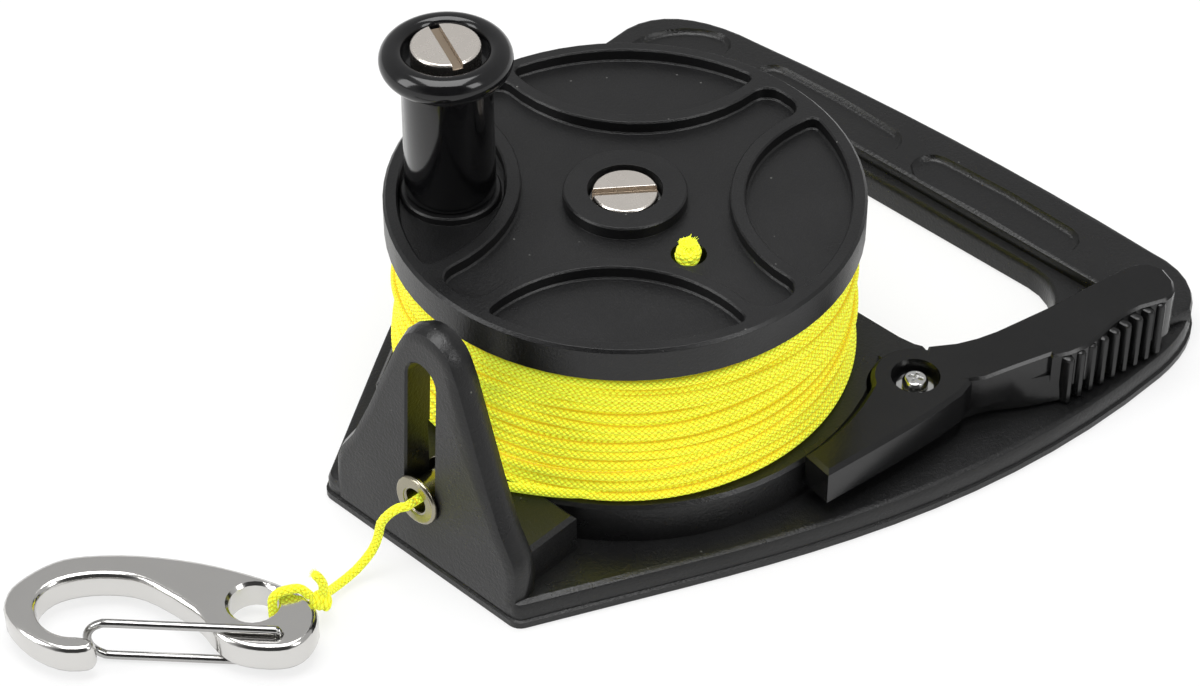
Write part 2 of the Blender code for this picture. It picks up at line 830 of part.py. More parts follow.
def build_frame(surface):
    made = add_object("frame", loft(frame_outline(), plate_levels()), surface)
    bar = add_object("tool_handle_bar", loft(handle_bar_outline(), bar_levels()), None)
    join_in(made, bar)

    deck_levels = [(0.0, ROOT), (0.0, DECK_TOP - DECK_EDGE), (-DECK_EDGE, DECK_TOP)]
    join_in(made, add_object("tool_deck", loft(deck_outline(), deck_levels), None))

    block_near_y = TOWER_CENTER_Y - BLOCK_HALF_LENGTH
    block_far_y = TOWER_CENTER_Y + BLOCK_HALF_LENGTH
    block_outline = [
        (BLOCK_NEAR_X, block_near_y),
        (BLOCK_FAR_X, block_near_y),
        (BLOCK_FAR_X, block_far_y),
        (BLOCK_NEAR_X, block_far_y),
    ]
    block_levels = [(0.0, BLOCK_ROOT), (0.0, DECK_TOP - BLOCK_EDGE), (-BLOCK_EDGE, DECK_TOP)]
    join_in(made, add_object("tool_guide_block", loft(block_outline, block_levels), None))

    tower = stand_up(add_object("tool_tower", loft(tower_outline(), tower_levels()), None))
    join_in(made, tower)

    opening = rounded_polygon(HANDLE_OPENING, OPENING_CORNER, 6)
    beyond = PLATE_TOP
    opening_levels = [
        (FOOT_CHAMFER + GAP, -GAP),
        (0.0, FOOT_CHAMFER),
        (0.0, PLATE_TOP - OPENING_FLARE),
        (OPENING_FLARE * ROUND_SHARE, PLATE_TOP - OPENING_FLARE * ROUND_SHARE),
        (OPENING_FLARE, PLATE_TOP + OPENING_FLARE * ROUND_SHARE),
        (OPENING_FLARE, DECK_TOP + beyond),
    ]
    cut_by(made, add_object("tool_finger_opening", loft(opening, opening_levels), None))

    for label, span in (("near", POCKET_NEAR_SPAN), ("far", POCKET_FAR_SPAN)):
        path = [(POCKET_X, span[0]), (POCKET_X + POCKET_DEPTH / 2, sum(span) / 2), (POCKET_X, span[1])]
        cut_by(made, finger_pocket("tool_pocket_" + label, path))
    angles = [math.radians(a) for a in POCKET_BEND_ANGLES]
    bend = arc_outline(POCKET_BEND_CENTER, POCKET_BEND_RADIUS, angles[0], angles[1], 5)
    cut_by(made, finger_pocket("tool_pocket_corner", bend))

    post_start = LEVER_POST_RADIUS + GAP
    lever_post = revolve(plug_profile(post_start, ROOT, LEVER_BOSS_TOP + GAP), ROUND_STEPS)
    join_in(made, add_object("tool_lever_post", lever_post, None, (*LEVER_PIVOT, 0.0)))
    room = [
        (0.0, LEVER_BOSS_TOP),
        (LEVER_POST_RADIUS, LEVER_BOSS_TOP),
        (LEVER_POST_RADIUS, PLATE_TOP - GAP),
        (LEVER_POCKET_RADIUS, PLATE_TOP - GAP),
        (LEVER_POCKET_RADIUS, DECK_TOP * 2),
        (0.0, DECK_TOP * 2),
    ]
    lever_room = add_object("tool_lever_room", revolve(room, ROUND_STEPS), None, (*LEVER_PIVOT, 0.0))
    cut_by(made, lever_room)
    insert_floor = LEVER_BOSS_TOP - LEVER_INSERT_DEPTH - GAP
    insert_room = plug_tool(
        "tool_lever_insert_bore", LEVER_PIVOT, LEVER_INSERT_RADIUS + GAP, insert_floor, DECK_TOP, SMALL_STEPS
    )
    cut_by(made, insert_room)

    seat_floor = DECK_TOP - THRUST_SEAT_DEPTH
    seat = plug_tool("tool_thrust_seat", (0.0, 0.0), THRUST_SEAT_RADIUS, seat_floor, DECK_TOP * 2)
    cut_by(made, seat)
    post = revolve(plug_profile(POST_RADIUS, ROOT, POST_TOP), ROUND_STEPS)
    join_in(made, add_object("tool_spindle_post", post, None))
    bore_floor = POST_TOP - INSERT_DEPTH
    bore = plug_tool("tool_post_bore", (0.0, 0.0), INSERT_RADIUS + GAP, bore_floor, DISC_TOP, SMALL_STEPS)
    cut_by(made, bore)

    cut_by(made, guide_slot_tool())
    collar_half = EYELET_FLANGE_RADIUS + COLLAR_ROOM
    slot_z = SLOT_BOTTOM + SLOT_HALF_WIDTH
    rear = FRONT_X + TOWER_THICK + slot_z * math.tan(TOWER_LEAN)
    collar_room = box_tool(
        "tool_collar_room",
        (rear - GAP, SLOT_CENTER_Y - collar_half, slot_z - collar_half),
        (BLOCK_FAR_X + COLLAR_ROOM, SLOT_CENTER_Y + collar_half, DECK_TOP * 2),
    )
    cut_by(made, collar_room)
    return smooth(made)


def eyelet_matrix():
    up = EYELET_HEIGHT / math.cos(TOWER_LEAN)
    lean = Matrix.Rotation(TOWER_LEAN, 4, "Y")
    return Matrix.Translation((FRONT_X, 0.0, 0.0)) @ lean @ Matrix.Translation((0.0, SLOT_CENTER_Y, up))


def place_on_guide(made):
    # Local Z runs through the tower from front to rear.
    across = Matrix.Rotation(math.pi / 2, 4, "Y")
    made.matrix_world = eyelet_matrix() @ across
    return made


def build_eyelet_front(surface):
    rear_end = TOWER_THICK + GAP + COLLAR_THICK + GAP
    front = -GAP - EYELET_FLANGE_THICK
    profile = [
        (EYELET_HOLE_RADIUS, front + EYELET_EDGE),
        (EYELET_HOLE_RADIUS + EYELET_EDGE, front),
        (EYELET_FLANGE_RADIUS - EYELET_EDGE, front),
        (EYELET_FLANGE_RADIUS, front + EYELET_EDGE),
        (EYELET_FLANGE_RADIUS, -GAP),
        (EYELET_BARREL_RADIUS, -GAP),
        (EYELET_BARREL_RADIUS, rear_end),
        (EYELET_HOLE_RADIUS, rear_end),
    ]
    return smooth(place_on_guide(add_object("eyelet_front", revolve(profile, SMALL_STEPS), surface)))


def build_eyelet_collar(surface):
    profile = washer_profile(
        EYELET_BARREL_RADIUS + GAP,
        EYELET_FLANGE_RADIUS,
        TOWER_THICK + GAP,
        TOWER_THICK + GAP + COLLAR_THICK,
        EYELET_EDGE / 2,
    )
    return smooth(place_on_guide(add_object("eyelet_collar", revolve(profile, SMALL_STEPS), surface)))


def lens_outline(direction):
    crossing = (LENS_OUTER_RADIUS ** 2 - LENS_INNER_RADIUS ** 2 + LENS_CENTER ** 2) / (2 * LENS_CENTER)
    half = math.acos(crossing / LENS_OUTER_RADIUS)
    inner_half = math.acos((LENS_CENTER - crossing) / LENS_INNER_RADIUS)
    trim = 1 - LENS_CORNER_SHARE
    outer = arc_outline((0.0, 0.0), LENS_OUTER_RADIUS, -half * trim, half * trim, 14)
    inner = arc_outline(
        (LENS_CENTER, 0.0), LENS_INNER_RADIUS, math.pi - inner_half * trim, math.pi + inner_half * trim, 18
    )
    tip = Vector(polar(LENS_OUTER_RADIUS, half))
    rounded = []
    for share in LENS_TIP_SHARES:
        start = Vector(outer[-1])
        end = Vector(inner[0])
        rounded.append(start.lerp(tip, share).lerp(tip.lerp(end, share), share))
    mirrored = [Vector((p.x, -p.y)) for p in reversed(rounded)]
    turn = Matrix.Rotation(direction, 2)
    return [turn @ Vector(p) for p in outer + rounded + inner + mirrored]


def star_outline():
    diagonal = LENS_CENTER * math.cos(math.pi / 4)
    arc_end = math.asin((diagonal - STAR_ARM_REACH + STAR_ARM_CORNER) / STAR_ARC_RADIUS)
    outline = []
    for quarter in range(4):
        arm = LENS_DIRECTION - math.pi / 4 + quarter * math.pi / 2
        half_width = diagonal - STAR_ARC_RADIUS * math.cos(arc_end)
        corner = (STAR_ARM_REACH - STAR_ARM_CORNER, half_width - STAR_ARM_CORNER)
        points = arc_outline((corner[0], -corner[1]), STAR_ARM_CORNER, -math.pi / 2, 0.0, 4)
        points += arc_outline(corner, STAR_ARM_CORNER, 0.0, math.pi / 2, 4)
        sweep = arc_outline(
            (diagonal, diagonal), STAR_ARC_RADIUS, 1.5 * math.pi - arc_end, math.pi + arc_end, 14
        )
        points += sweep[1:-1]
        turn = Matrix.Rotation(arm, 2)
        outline += [turn @ Vector(p) for p in points]
    return outline


def recess_levels():
    floor = DISC_TOP - RECESS_DEPTH
    return [
        (-RECESS_FLARE, floor),
        (0.0, floor + RECESS_FLARE),
        (0.0, DISC_TOP - RECESS_FLARE),
        (RECESS_FLARE * 2, DISC_TOP + RECESS_FLARE),
    ]


def build_spool_disc(surface):
    profile = [
        (0.0, DISC_BOTTOM),
        (DISC_RADIUS - DISC_EDGE, DISC_BOTTOM),
        (DISC_RADIUS, DISC_BOTTOM + DISC_EDGE),
        (DISC_RADIUS, DISC_TOP - DISC_EDGE),
        (DISC_RADIUS - DISC_EDGE, DISC_TOP),
        (0.0, DISC_TOP),
    ]
    made = add_object("spool_top_disc", revolve(profile, RIM_STEPS), surface)
    for quarter in range(4):
        direction = LENS_DIRECTION + quarter * math.pi / 2
        name = "tool_lens_recess_" + str(quarter)
        cut_by(made, add_object(name, loft(lens_outline(direction), recess_levels()), None))
    cut_by(made, add_object("tool_star_recess", loft(star_outline(), recess_levels()), None))
    floor = DISC_TOP - RECESS_DEPTH
    inside = floor - RECESS_DEPTH / 2
    boss = revolve(plug_profile(HUB_BOSS_RADIUS, inside, DISC_TOP, RECESS_FLARE), ROUND_STEPS)
    join_in(made, add_object("tool_hub_boss", boss, None))
    pad_top = DISC_TOP - CRANK_PAD_DROP
    pad = revolve(plug_profile(CRANK_PAD_RADIUS, inside, pad_top, RECESS_FLARE), ROUND_STEPS)
    join_in(made, add_object("tool_crank_pad", pad, None, (*CRANK_AXIS, 0.0)))
    bore_floor = DISC_TOP - HUB_BORE_DEPTH
    socket_top = DISC_BOTTOM + SOCKET_DEPTH + GAP
    stages = [
        (SOCKET_RADIUS + GAP, 0.0, socket_top),
        (SCREW_SHANK_RADIUS + GAP, socket_top, bore_floor),
        (HUB_BORE_RADIUS, bore_floor, DISC_TOP * 2),
    ]
    cut_by(made, stepped_tool("tool_hub_bore", (0.0, 0.0), stages))
    insert_floor = pad_top - CRANK_INSERT_DEPTH
    insert_room = plug_tool(
        "tool_crank_insert_bore", CRANK_AXIS, INSERT_RADIUS + GAP, insert_floor, DISC_TOP * 2, SMALL_STEPS
    )
    cut_by(made, insert_room)
    cut_by(made, plug_tool("tool_line_hole", LINE_HOLE_CENTER, LINE_HOLE_RADIUS, 0.0, DISC_TOP, SMALL_STEPS))
    return smooth(made)


def build_spool_drum(surface):
    flange_top = FLANGE_BOTTOM + FLANGE_THICK
    bore = POST_RADIUS + GAP + BUSHING_WALL + GAP
    edge = FLANGE_THICK / 4
    profile = [
        (bore, FLANGE_BOTTOM),
        (FLANGE_RADIUS - edge, FLANGE_BOTTOM),
        (FLANGE_RADIUS, FLANGE_BOTTOM + edge),
        (FLANGE_RADIUS, flange_top - edge),
        (FLANGE_RADIUS - edge, flange_top),
        (BARREL_RADIUS, flange_top),
        (BARREL_RADIUS, DISC_BOTTOM - GAP),
        (SOCKET_RADIUS, DISC_BOTTOM - GAP),
        (SOCKET_RADIUS, DISC_BOTTOM + SOCKET_DEPTH),
        (bore, DISC_BOTTOM + SOCKET_DEPTH),
    ]
    return smooth(add_object("spool_drum", revolve(profile, ROUND_STEPS), surface))


def build_hub_bushing(surface):
    inner = POST_RADIUS + GAP
    profile = washer_profile(inner, inner + BUSHING_WALL, FLANGE_BOTTOM, DISC_BOTTOM)
    return smooth(add_object("hub_bushing", revolve(profile, ROUND_STEPS), surface))


def winding_radius(height, bearing):
    # The pack is drawn in a little at mid height, and its lowest rows swell
    # out on the side that faces the guide.
    share = (height - DECK_TOP) / (DISC_BOTTOM - DECK_TOP)
    facing = (1 + math.cos(bearing - WINDING_BULGE_DIRECTION)) / 2
    swell = WINDING_BULGE * (1 - share) ** 2 * facing ** 3
    return CORE_RADIUS - WINDING_WAIST * math.sin(math.pi * share) + swell


def build_line_core(surface):
    bottom = FLANGE_BOTTOM + FLANGE_THICK + GAP
    top = DISC_BOTTOM - GAP
    inside = BARREL_RADIUS + GAP
    profile = [(inside, bottom)]
    levels = 6
    for level in range(levels + 1):
        profile.append((CORE_RADIUS, bottom + (top - bottom) * level / levels))
    profile.append((inside, top))
    builder = revolve(profile, ROUND_STEPS)
    for vertex in builder.verts:
        if math.hypot(vertex.co.x, vertex.co.y) > inside + GAP:
            bearing = math.atan2(vertex.co.y, vertex.co.x)
            radius = winding_radius(vertex.co.z, bearing)
            vertex.co.x, vertex.co.y = polar(radius, bearing)
    return smooth(add_object("line_core", builder, surface))


def winding_low():
    return DECK_TOP + GAP * 2 + LINE_RADIUS


def winding_facet():
    # The corners of the drawn loops stand out by this factor.
    return 1 / math.cos(math.pi / WINDING_LOOP_POINTS)


def build_line_winding(surface):
    over_flange = FLANGE_RADIUS - CORE_RADIUS + GAP
    bottom = winding_low()
    top = DISC_BOTTOM - GAP - LINE_RADIUS
    loops = int((top - bottom) / WINDING_PITCH)
    count = loops * WINDING_LOOP_POINTS
    path = []
    for index in range(count + 1):
        turns = index / WINDING_LOOP_POINTS
        turn = 2 * math.pi * turns
        height = bottom + (top - bottom) * index / count
        radius = winding_radius(height, turn) + WINDING_CLEAR + LINE_RADIUS
        radius += over_flange * min(1.0, max(0.0, 2 - turns))
        radius *= winding_facet()
        path.append(Vector((*polar(radius, turn), height)))
    made = tube("line_winding", path, LINE_RADIUS, 1, surface)
    report_least_gap(path)
    print("winding reach", max(math.hypot(p.x, p.y) for p in path) + LINE_RADIUS, winding_reach())
    return made


def winding_reach():
    # The greatest radius that the wound line sweeps as the spool turns.
    over_flange = FLANGE_RADIUS - CORE_RADIUS + GAP
    widest = winding_radius(winding_low(), WINDING_BULGE_DIRECTION)
    return (widest + WINDING_CLEAR + LINE_RADIUS + over_flange) * winding_facet() + LINE_RADIUS


def report_least_gap(path):
    least = 1.0
    for index in range(len(path) - WINDING_LOOP_POINTS // 2):
        last = min(index + 2 * WINDING_LOOP_POINTS, len(path))
        for other in range(index + WINDING_LOOP_POINTS // 2, last):
            least = min(least, (path[index] - path[other]).length)
    print("least gap between turns", round(least - 2 * LINE_RADIUS, 6))


def build_line_end_knot(surface):
    neck = LINE_RADIUS
    bulb = END_BULB_RADIUS
    rise, width, root = (share * bulb for share in END_BULB_SHARES)
    middle = DISC_TOP - RECESS_DEPTH
    profile = [
        (0.0, DISC_BOTTOM),
        (neck, DISC_BOTTOM),
        (neck, middle - root),
        (width, middle - rise),
        (bulb, middle),
        (width, middle + rise),
        (neck, middle + bulb),
        (0.0, middle + bulb),
    ]
    return smooth(add_object("line_end_knot", revolve(profile, 12), surface, (*LINE_HOLE_CENTER, 0.0)))


def build_thrust_washer(surface):
    bottom = DECK_TOP - THRUST_SEAT_DEPTH + GAP
    top = bottom + THRUST_WASHER_THICK - GAP
    profile = washer_profile(POST_RADIUS + GAP, THRUST_WASHER_RADIUS, bottom, top)
    return smooth(add_object("thrust_washer", revolve(profile, ROUND_STEPS), surface))


def build_insert(name, outer, inner, bottom, top, axis, surface):
    profile = washer_profile(inner, outer, bottom, top)
    return smooth(add_object(name, revolve(profile, SMALL_STEPS), surface, (*axis, 0.0)))


def build_slotted_screw(name, axis, head_radius, head_bottom, head_top, shank_bottom, angle, surface):
    profile = [
        (0.0, shank_bottom),
        (SCREW_SHANK_RADIUS, shank_bottom),
        (SCREW_SHANK_RADIUS, head_bottom),
        (head_radius, head_bottom),
        (head_radius, head_top - HEAD_EDGE),
        (head_radius - HEAD_EDGE, head_top),
        (0.0, head_top),
    ]
    made = add_object(name, revolve(profile, ROUND_STEPS), surface, (*axis, 0.0))
    long_enough = head_radius * 3
    floor = head_top - HEAD_SLOT_DEPTH
    slot = slot_tool(
        "tool_slot_" + name, axis, long_enough, HEAD_SLOT_WIDTH, floor, head_top * 2, angle
    )
    cut_by(made, slot)
    return smooth(made)


def build_center_washer(surface):
    bottom = DISC_TOP - HUB_BORE_DEPTH + GAP
    profile = washer_profile(
        SCREW_SHANK_RADIUS + GAP, CENTER_WASHER_RADIUS, bottom, bottom + CENTER_WASHER_THICK
    )
    return smooth(add_object("center_washer", revolve(profile, ROUND_STEPS), surface))


def build_center_screw(surface):
    head_bottom = DISC_TOP - HUB_BORE_DEPTH + GAP + CENTER_WASHER_THICK + GAP
    head_top = head_bottom + CENTER_HEAD_THICK
    shank_bottom = POST_TOP - INSERT_DEPTH + GAP * 4
    return build_slotted_screw(
        "center_screw", (0.0, 0.0), CENTER_HEAD_RADIUS, head_bottom, head_top, shank_bottom,
        CENTER_SLOT_ANGLE, surface,
    )


def build_crank_grip(surface):
    head_low = CRANK_TOP - CRANK_HEAD_THICK
    ball = CRANK_HEAD_THICK / 2
    ball_center = CRANK_HEAD_RADIUS - ball
    bore = CRANK_SLEEVE_RADIUS + GAP
    foot_round = GAP * 3
    profile = [
        (bore, CRANK_FOOT),
        (CRANK_FOOT_RADIUS - foot_round, CRANK_FOOT),
        (CRANK_FOOT_RADIUS, CRANK_FOOT + foot_round),
        (CRANK_NECK_RADIUS, head_low - foot_round),
        (CRANK_NECK_RADIUS + foot_round, head_low),
    ]
    for step in range(9):
        turn = -math.pi / 2 + math.pi * step / 8
        profile.append((ball_center + ball * math.cos(turn), head_low + ball + ball * math.sin(turn)))
    counterbore_floor = CRANK_TOP - CRANK_BORE_DEPTH
    profile += [
        (CRANK_BORE_RADIUS, CRANK_TOP),
        (CRANK_BORE_RADIUS, counterbore_floor),
        (bore, counterbore_floor),
    ]
    return smooth(add_object("crank_grip", revolve(profile, ROUND_STEPS), surface, (*CRANK_AXIS, 0.0)))


def build_crank_sleeve(surface):
    top = CRANK_TOP - CRANK_BORE_DEPTH + GAP
    profile = washer_profile(SCREW_SHANK_RADIUS + GAP, CRANK_SLEEVE_RADIUS, CRANK_FOOT, top)
    return smooth(add_object("crank_sleeve", revolve(profile, SMALL_STEPS), surface, (*CRANK_AXIS, 0.0)))


def build_crank_screw(surface):
    head_bottom = CRANK_TOP - CRANK_BORE_DEPTH + GAP * 2
    shank_bottom = DISC_TOP - CRANK_PAD_DROP - CRANK_INSERT_DEPTH + GAP * 3
    return build_slotted_screw(
        "crank_screw", CRANK_AXIS, CRANK_HEAD_SCREW_RADIUS, head_bottom, CRANK_HEAD_SCREW_TOP,
        shank_bottom, CRANK_SLOT_ANGLE, surface,
    )


def about_pivot(point):
    return (point[0] - LEVER_PIVOT[0], point[1] - LEVER_PIVOT[1])


def lever_boss_arc():
    angles = [math.radians(a) for a in LEVER_BOSS_ANGLES]
    return arc_outline(LEVER_PIVOT, LEVER_BOSS_RADIUS, angles[0], angles[1], 12)


def lever_outline():
    angles = [math.radians(a) for a in LEVER_INNER_ANGLES]
    inner = arc_outline((0.0, 0.0), LEVER_INNER_RADIUS, angles[0], angles[1], 8)
    outline = list(LEVER_NEAR_EDGE + LEVER_BRIDGE) + lever_boss_arc() + inner
    return [about_pivot(point) for point in outline]


def thumb_top(x):
    # The thumb plate climbs gently towards its end.
    return LEVER_TOP + THUMB_RISE * (x - THUMB_RISE_X)


def thumb_plate():
    outline = THUMB_NEAR_EDGE + LEVER_END + LEVER_FAR_EDGE + THUMB_ROOT
    low = LEVER_BOTTOM + GAP
    levels = [
        (-THUMB_EDGE, low),
        (0.0, low + THUMB_EDGE),
        (0.0, LEVER_TOP - THUMB_EDGE),
        (-THUMB_EDGE, LEVER_TOP),
    ]
    builder = loft([about_pivot(point) for point in outline], levels)
    middle = (LEVER_BOTTOM + LEVER_TOP) / 2
    for vertex in builder.verts:
        if vertex.co.z > middle:
            vertex.co.z += thumb_top(vertex.co.x + LEVER_PIVOT[0]) - LEVER_TOP
    return builder


def thumb_wall():
    # The wall under the ribs hangs lower than the lever and keeps clear of
    # the post below the pivot.
    outline = list(THUMB_WALL)
    for point in reversed(THUMB_WALL):
        room = Vector(about_pivot(point)).length - LEVER_POST_RADIUS - LEVER_POST_CLEAR
        outline.append((point[0], point[1] + min(THUMB_DEPTH, room)))
    levels = [
        (-THUMB_EDGE, THUMB_BOTTOM),
        (0.0, THUMB_BOTTOM + THUMB_EDGE),
        (-THUMB_DRAFT, (LEVER_BOTTOM + LEVER_TOP) / 2),
    ]
    return loft([about_pivot(point) for point in outline], levels)


def lever_ribs():
    builder = bmesh.new()
    low = THUMB_BOTTOM + THUMB_EDGE / 2
    for index in range(RIB_COUNT):
        share = index / (RIB_COUNT - 1)
        outer = Vector(about_pivot(RIB_FIRST)).lerp(Vector(about_pivot(RIB_LAST)), share)
        inner = outer + Vector((0.0, RIB_BACK))
        top = thumb_top(outer.x + LEVER_PIVOT[0]) - RIB_DROP
        levels = [
            (0.0, low),
            (0.0, top - RIB_DOME),
            (-RIB_DOME * ROUND_SHARE, top - RIB_DOME * ROUND_SHARE),
            (-RIB_DOME, top),
        ]
        rib = loft(band_outline([inner, outer], RIB_RADIUS, 4), levels)
        mesh = bpy.data.meshes.new("rib")
        rib.to_mesh(mesh)
        rib.free()
        builder.from_mesh(mesh)
        bpy.data.meshes.remove(mesh)
    return builder


def build_lever(surface):
    place = (*LEVER_PIVOT, 0.0)
    body_levels = [
        (-LEVER_EDGE / 2, LEVER_BOTTOM),
        (0.0, LEVER_BOTTOM + LEVER_EDGE / 2),
        (0.0, LEVER_TOP - LEVER_EDGE),
        (-LEVER_EDGE, LEVER_TOP),
    ]
    made = add_object("brake_lever", loft(lever_outline(), body_levels), surface, place)
    join_in(made, add_object("tool_thumb_plate", thumb_plate(), None, place))
    join_in(made, add_object("tool_thumb_wall", thumb_wall(), None, place))
    join_in(made, add_object("tool_lever_ribs", lever_ribs(), None, place))
    counterbore_floor = LEVER_TOP - LEVER_COUNTERBORE_DEPTH
    stages = [
        (LEVER_BORE_RADIUS, 0.0, counterbore_floor),
        (LEVER_COUNTERBORE_RADIUS, counterbore_floor, DISC_BOTTOM),
    ]
    cut_by(made, stepped_tool("tool_lever_bore", LEVER_PIVOT, stages, SMALL_STEPS))
    ring = washer_profile(
        SPRING_POCKET_CORE, SPRING_POCKET_RADIUS, LEVER_BOTTOM - GAP, LEVER_BOTTOM + SPRING_POCKET_DEPTH
    )
    cut_by(made, add_object("tool_spring_pocket", revolve(ring, ROUND_STEPS), None, place))
    return smooth(made)


def build_lever_bush(surface):
    top = LEVER_TOP - LEVER_COUNTERBORE_DEPTH + GAP
    profile = washer_profile(
        LEVER_SCREW_SHANK + GAP, LEVER_BORE_RADIUS - GAP, LEVER_BOSS_TOP + GAP, top
    )
    return smooth(add_object("lever_bush", revolve(profile, SMALL_STEPS), surface, (*LEVER_PIVOT, 0.0)))


def build_lever_washer(surface):
    bottom = LEVER_TOP - LEVER_COUNTERBORE_DEPTH + GAP * 2
    profile = washer_profile(
        LEVER_SCREW_SHANK + GAP, LEVER_WASHER_RADIUS, bottom, bottom + LEVER_WASHER_THICK
    )
    return smooth(add_object("lever_washer", revolve(profile, SMALL_STEPS), surface, (*LEVER_PIVOT, 0.0)))


def build_lever_screw(surface):
    head_bottom = LEVER_TOP - LEVER_COUNTERBORE_DEPTH + GAP * 3 + LEVER_WASHER_THICK
    head_top = head_bottom + LEVER_SCREW_HEAD_THICK
    shank_bottom = LEVER_BOSS_TOP - LEVER_INSERT_DEPTH + GAP * 2
    profile = [
        (0.0, shank_bottom),
        (LEVER_SCREW_SHANK, shank_bottom),
        (LEVER_SCREW_SHANK, head_bottom),
        (LEVER_SCREW_HEAD, head_bottom),
        (LEVER_SCREW_HEAD, head_bottom + LEVER_SCREW_HEAD_THICK / 2),
        (LEVER_SCREW_HEAD * LEVER_HEAD_SHARES[0], head_top - HEAD_EDGE / 2),
        (LEVER_SCREW_HEAD * LEVER_HEAD_SHARES[1], head_top),
        (0.0, head_top),
    ]
    made = add_object("lever_screw", revolve(profile, SMALL_STEPS), surface, (*LEVER_PIVOT, 0.0))
    for turn in (0, 1):
        angle = LEVER_CROSS_ANGLE + turn * math.pi / 2
        bar = slot_tool(
            "tool_cross_" + str(turn), LEVER_PIVOT, LEVER_CROSS_LENGTH, LEVER_CROSS_WIDTH,
            head_top - LEVER_CROSS_WIDTH, head_top * 2, angle,
        )
        cut_by(made, bar)
    return smooth(made)


def build_lever_spring(surface):
    loop_points = 16
    bottom = LEVER_BOSS_TOP + GAP + SPRING_WIRE_RADIUS
    path = []
    for index in range(SPRING_TURNS * loop_points + 1):
        turn = 2 * math.pi * index / loop_points
        height = bottom + SPRING_PITCH * index / loop_points
        path.append((*polar(SPRING_COIL_RADIUS, turn), height))
    return tube("lever_spring", path, SPRING_WIRE_RADIUS, 1, surface, (*LEVER_PIVOT, 0.0))


def hook_outline():
    return closed_path([Vector(p) for p in HOOK_OUTER + HOOK_INNER], 3)


def build_snap_body(surface):
    low = HOOK_MIDDLE - HOOK_THICK / 2
    high = HOOK_MIDDLE + HOOK_THICK / 2
    soft = HOOK_ROUND
    levels = [
        (-soft, low),
        (-soft * ROUND_SHARE, low + soft * ROUND_SHARE),
        (0.0, low + soft),
        (0.0, high - soft),
        (-soft * ROUND_SHARE, high - soft * ROUND_SHARE),
        (-soft, high),
    ]
    made = add_object("snap_body", loft(hook_outline(), levels), surface)
    flare = HOOK_EYE_FLARE
    eye = circle_outline(HOOK_EYE_CENTER, HOOK_EYE_RADIUS, SMALL_STEPS)
    eye_levels = [
        (flare * 2, low - flare),
        (0.0, low + flare),
        (0.0, high - flare),
        (flare * 2, high + flare),
    ]
    cut_by(made, add_object("tool_snap_eye", loft(eye, eye_levels), None))
    room = GATE_WIRE_RADIUS + GAP
    depth = GATE_HOLE_DEPTH
    cut_by(made, plug_tool("tool_gate_top_hole", GATE_HINGE, room, high - depth, high * 2, 12))
    cut_by(made, plug_tool("tool_gate_low_hole", GATE_HINGE, room, 0.0, low + depth, 12))
    return smooth(made)


def build_snap_gate(surface):
    low = HOOK_MIDDLE - HOOK_THICK / 2
    high = HOOK_MIDDLE + HOOK_THICK / 2
    reach = GAP + GATE_WIRE_RADIUS
    top = high + reach
    bottom = low - reach
    depth = GATE_WIRE_RADIUS * 2
    along = Vector(GATE_TIP) - Vector(GATE_HINGE)
    length = along.length
    along.normalize()
    half = (top - bottom) / 2
    middle = (top + bottom) / 2

    def at(distance, height):
        return Vector((along.x * distance, along.y * distance, height))

    bend = GATE_BEND
    down, out, dip = (share * bend for share in GATE_BEND_SHARES)
    path = [at(0.0, top - depth), at(0.0, top - down), at(out, top - dip), at(bend, top)]
    straight_end = length - half
    for step in range(1, 4):
        path.append(at(bend + (straight_end - bend) * step / 4, top))
    for step in range(GATE_BEND_STEPS + 1):
        turn = math.pi / 2 - math.pi * step / GATE_BEND_STEPS
        path.append(at(straight_end + half * math.cos(turn), middle + half * math.sin(turn)))
    for step in range(3, 0, -1):
        path.append(at(bend + (straight_end - bend) * step / 4, bottom))
    path += [at(bend, bottom), at(out, bottom + dip), at(0.0, bottom + down)]
    path.append(at(0.0, bottom + depth))
    return tube("snap_gate", path, GATE_WIRE_RADIUS, 2, surface, (*GATE_HINGE, 0.0))


def guide_point(across):
    # A point on the eyelet axis, measured through the tower from its front face.
    return eyelet_matrix() @ Vector((across, 0.0, 0.0))


def build_guide_stretch(surface):
    front = -GAP - EYELET_FLANGE_THICK
    rear = TOWER_THICK + GAP * 2 + COLLAR_THICK
    return tube("line_in_eyelet", [guide_point(front), guide_point((front + rear) / 2), guide_point(rear)],
                LINE_RADIUS, 2, surface)


def build_inner_stretch(surface):
    start = guide_point(TOWER_THICK + GAP * 3 + COLLAR_THICK)
    next_point = guide_point(TOWER_THICK + GAP * 3 + COLLAR_THICK + 2 * LINE_RADIUS)
    radius = winding_reach() + GAP + LINE_RADIUS
    distance = math.hypot(next_point.x, next_point.y)
    bearing = math.atan2(next_point.y, next_point.x)
    tangent = bearing + math.acos(min(1.0, radius / distance))
    end = Vector((*polar(radius, tangent), start.z))
    return tube("line_to_spool", [start, next_point, end], LINE_RADIUS, 2, surface)


def build_free_line(surface):
    front = -GAP * 2 - EYELET_FLANGE_THICK
    start = guide_point(front)
    straight = guide_point(front - 2 * LINE_RADIUS)
    last = Vector(FREE_LINE_ROUTE[-1])
    toward = (Vector(KNOT_CENTER) - last).normalized()
    end = Vector(KNOT_CENTER) - toward * (KNOT_RADIUS + GAP)
    route = [straight] + [Vector(p) for p in FREE_LINE_ROUTE] + [end - toward * 2 * LINE_RADIUS]
    path = [start] + smooth_path(route, 2) + [end]
    length = sum((b - a).length for a, b in zip(path, path[1:]))
    print("free line length", round(length, 5))
    return tube("free_line", path, LINE_RADIUS, 2, surface)


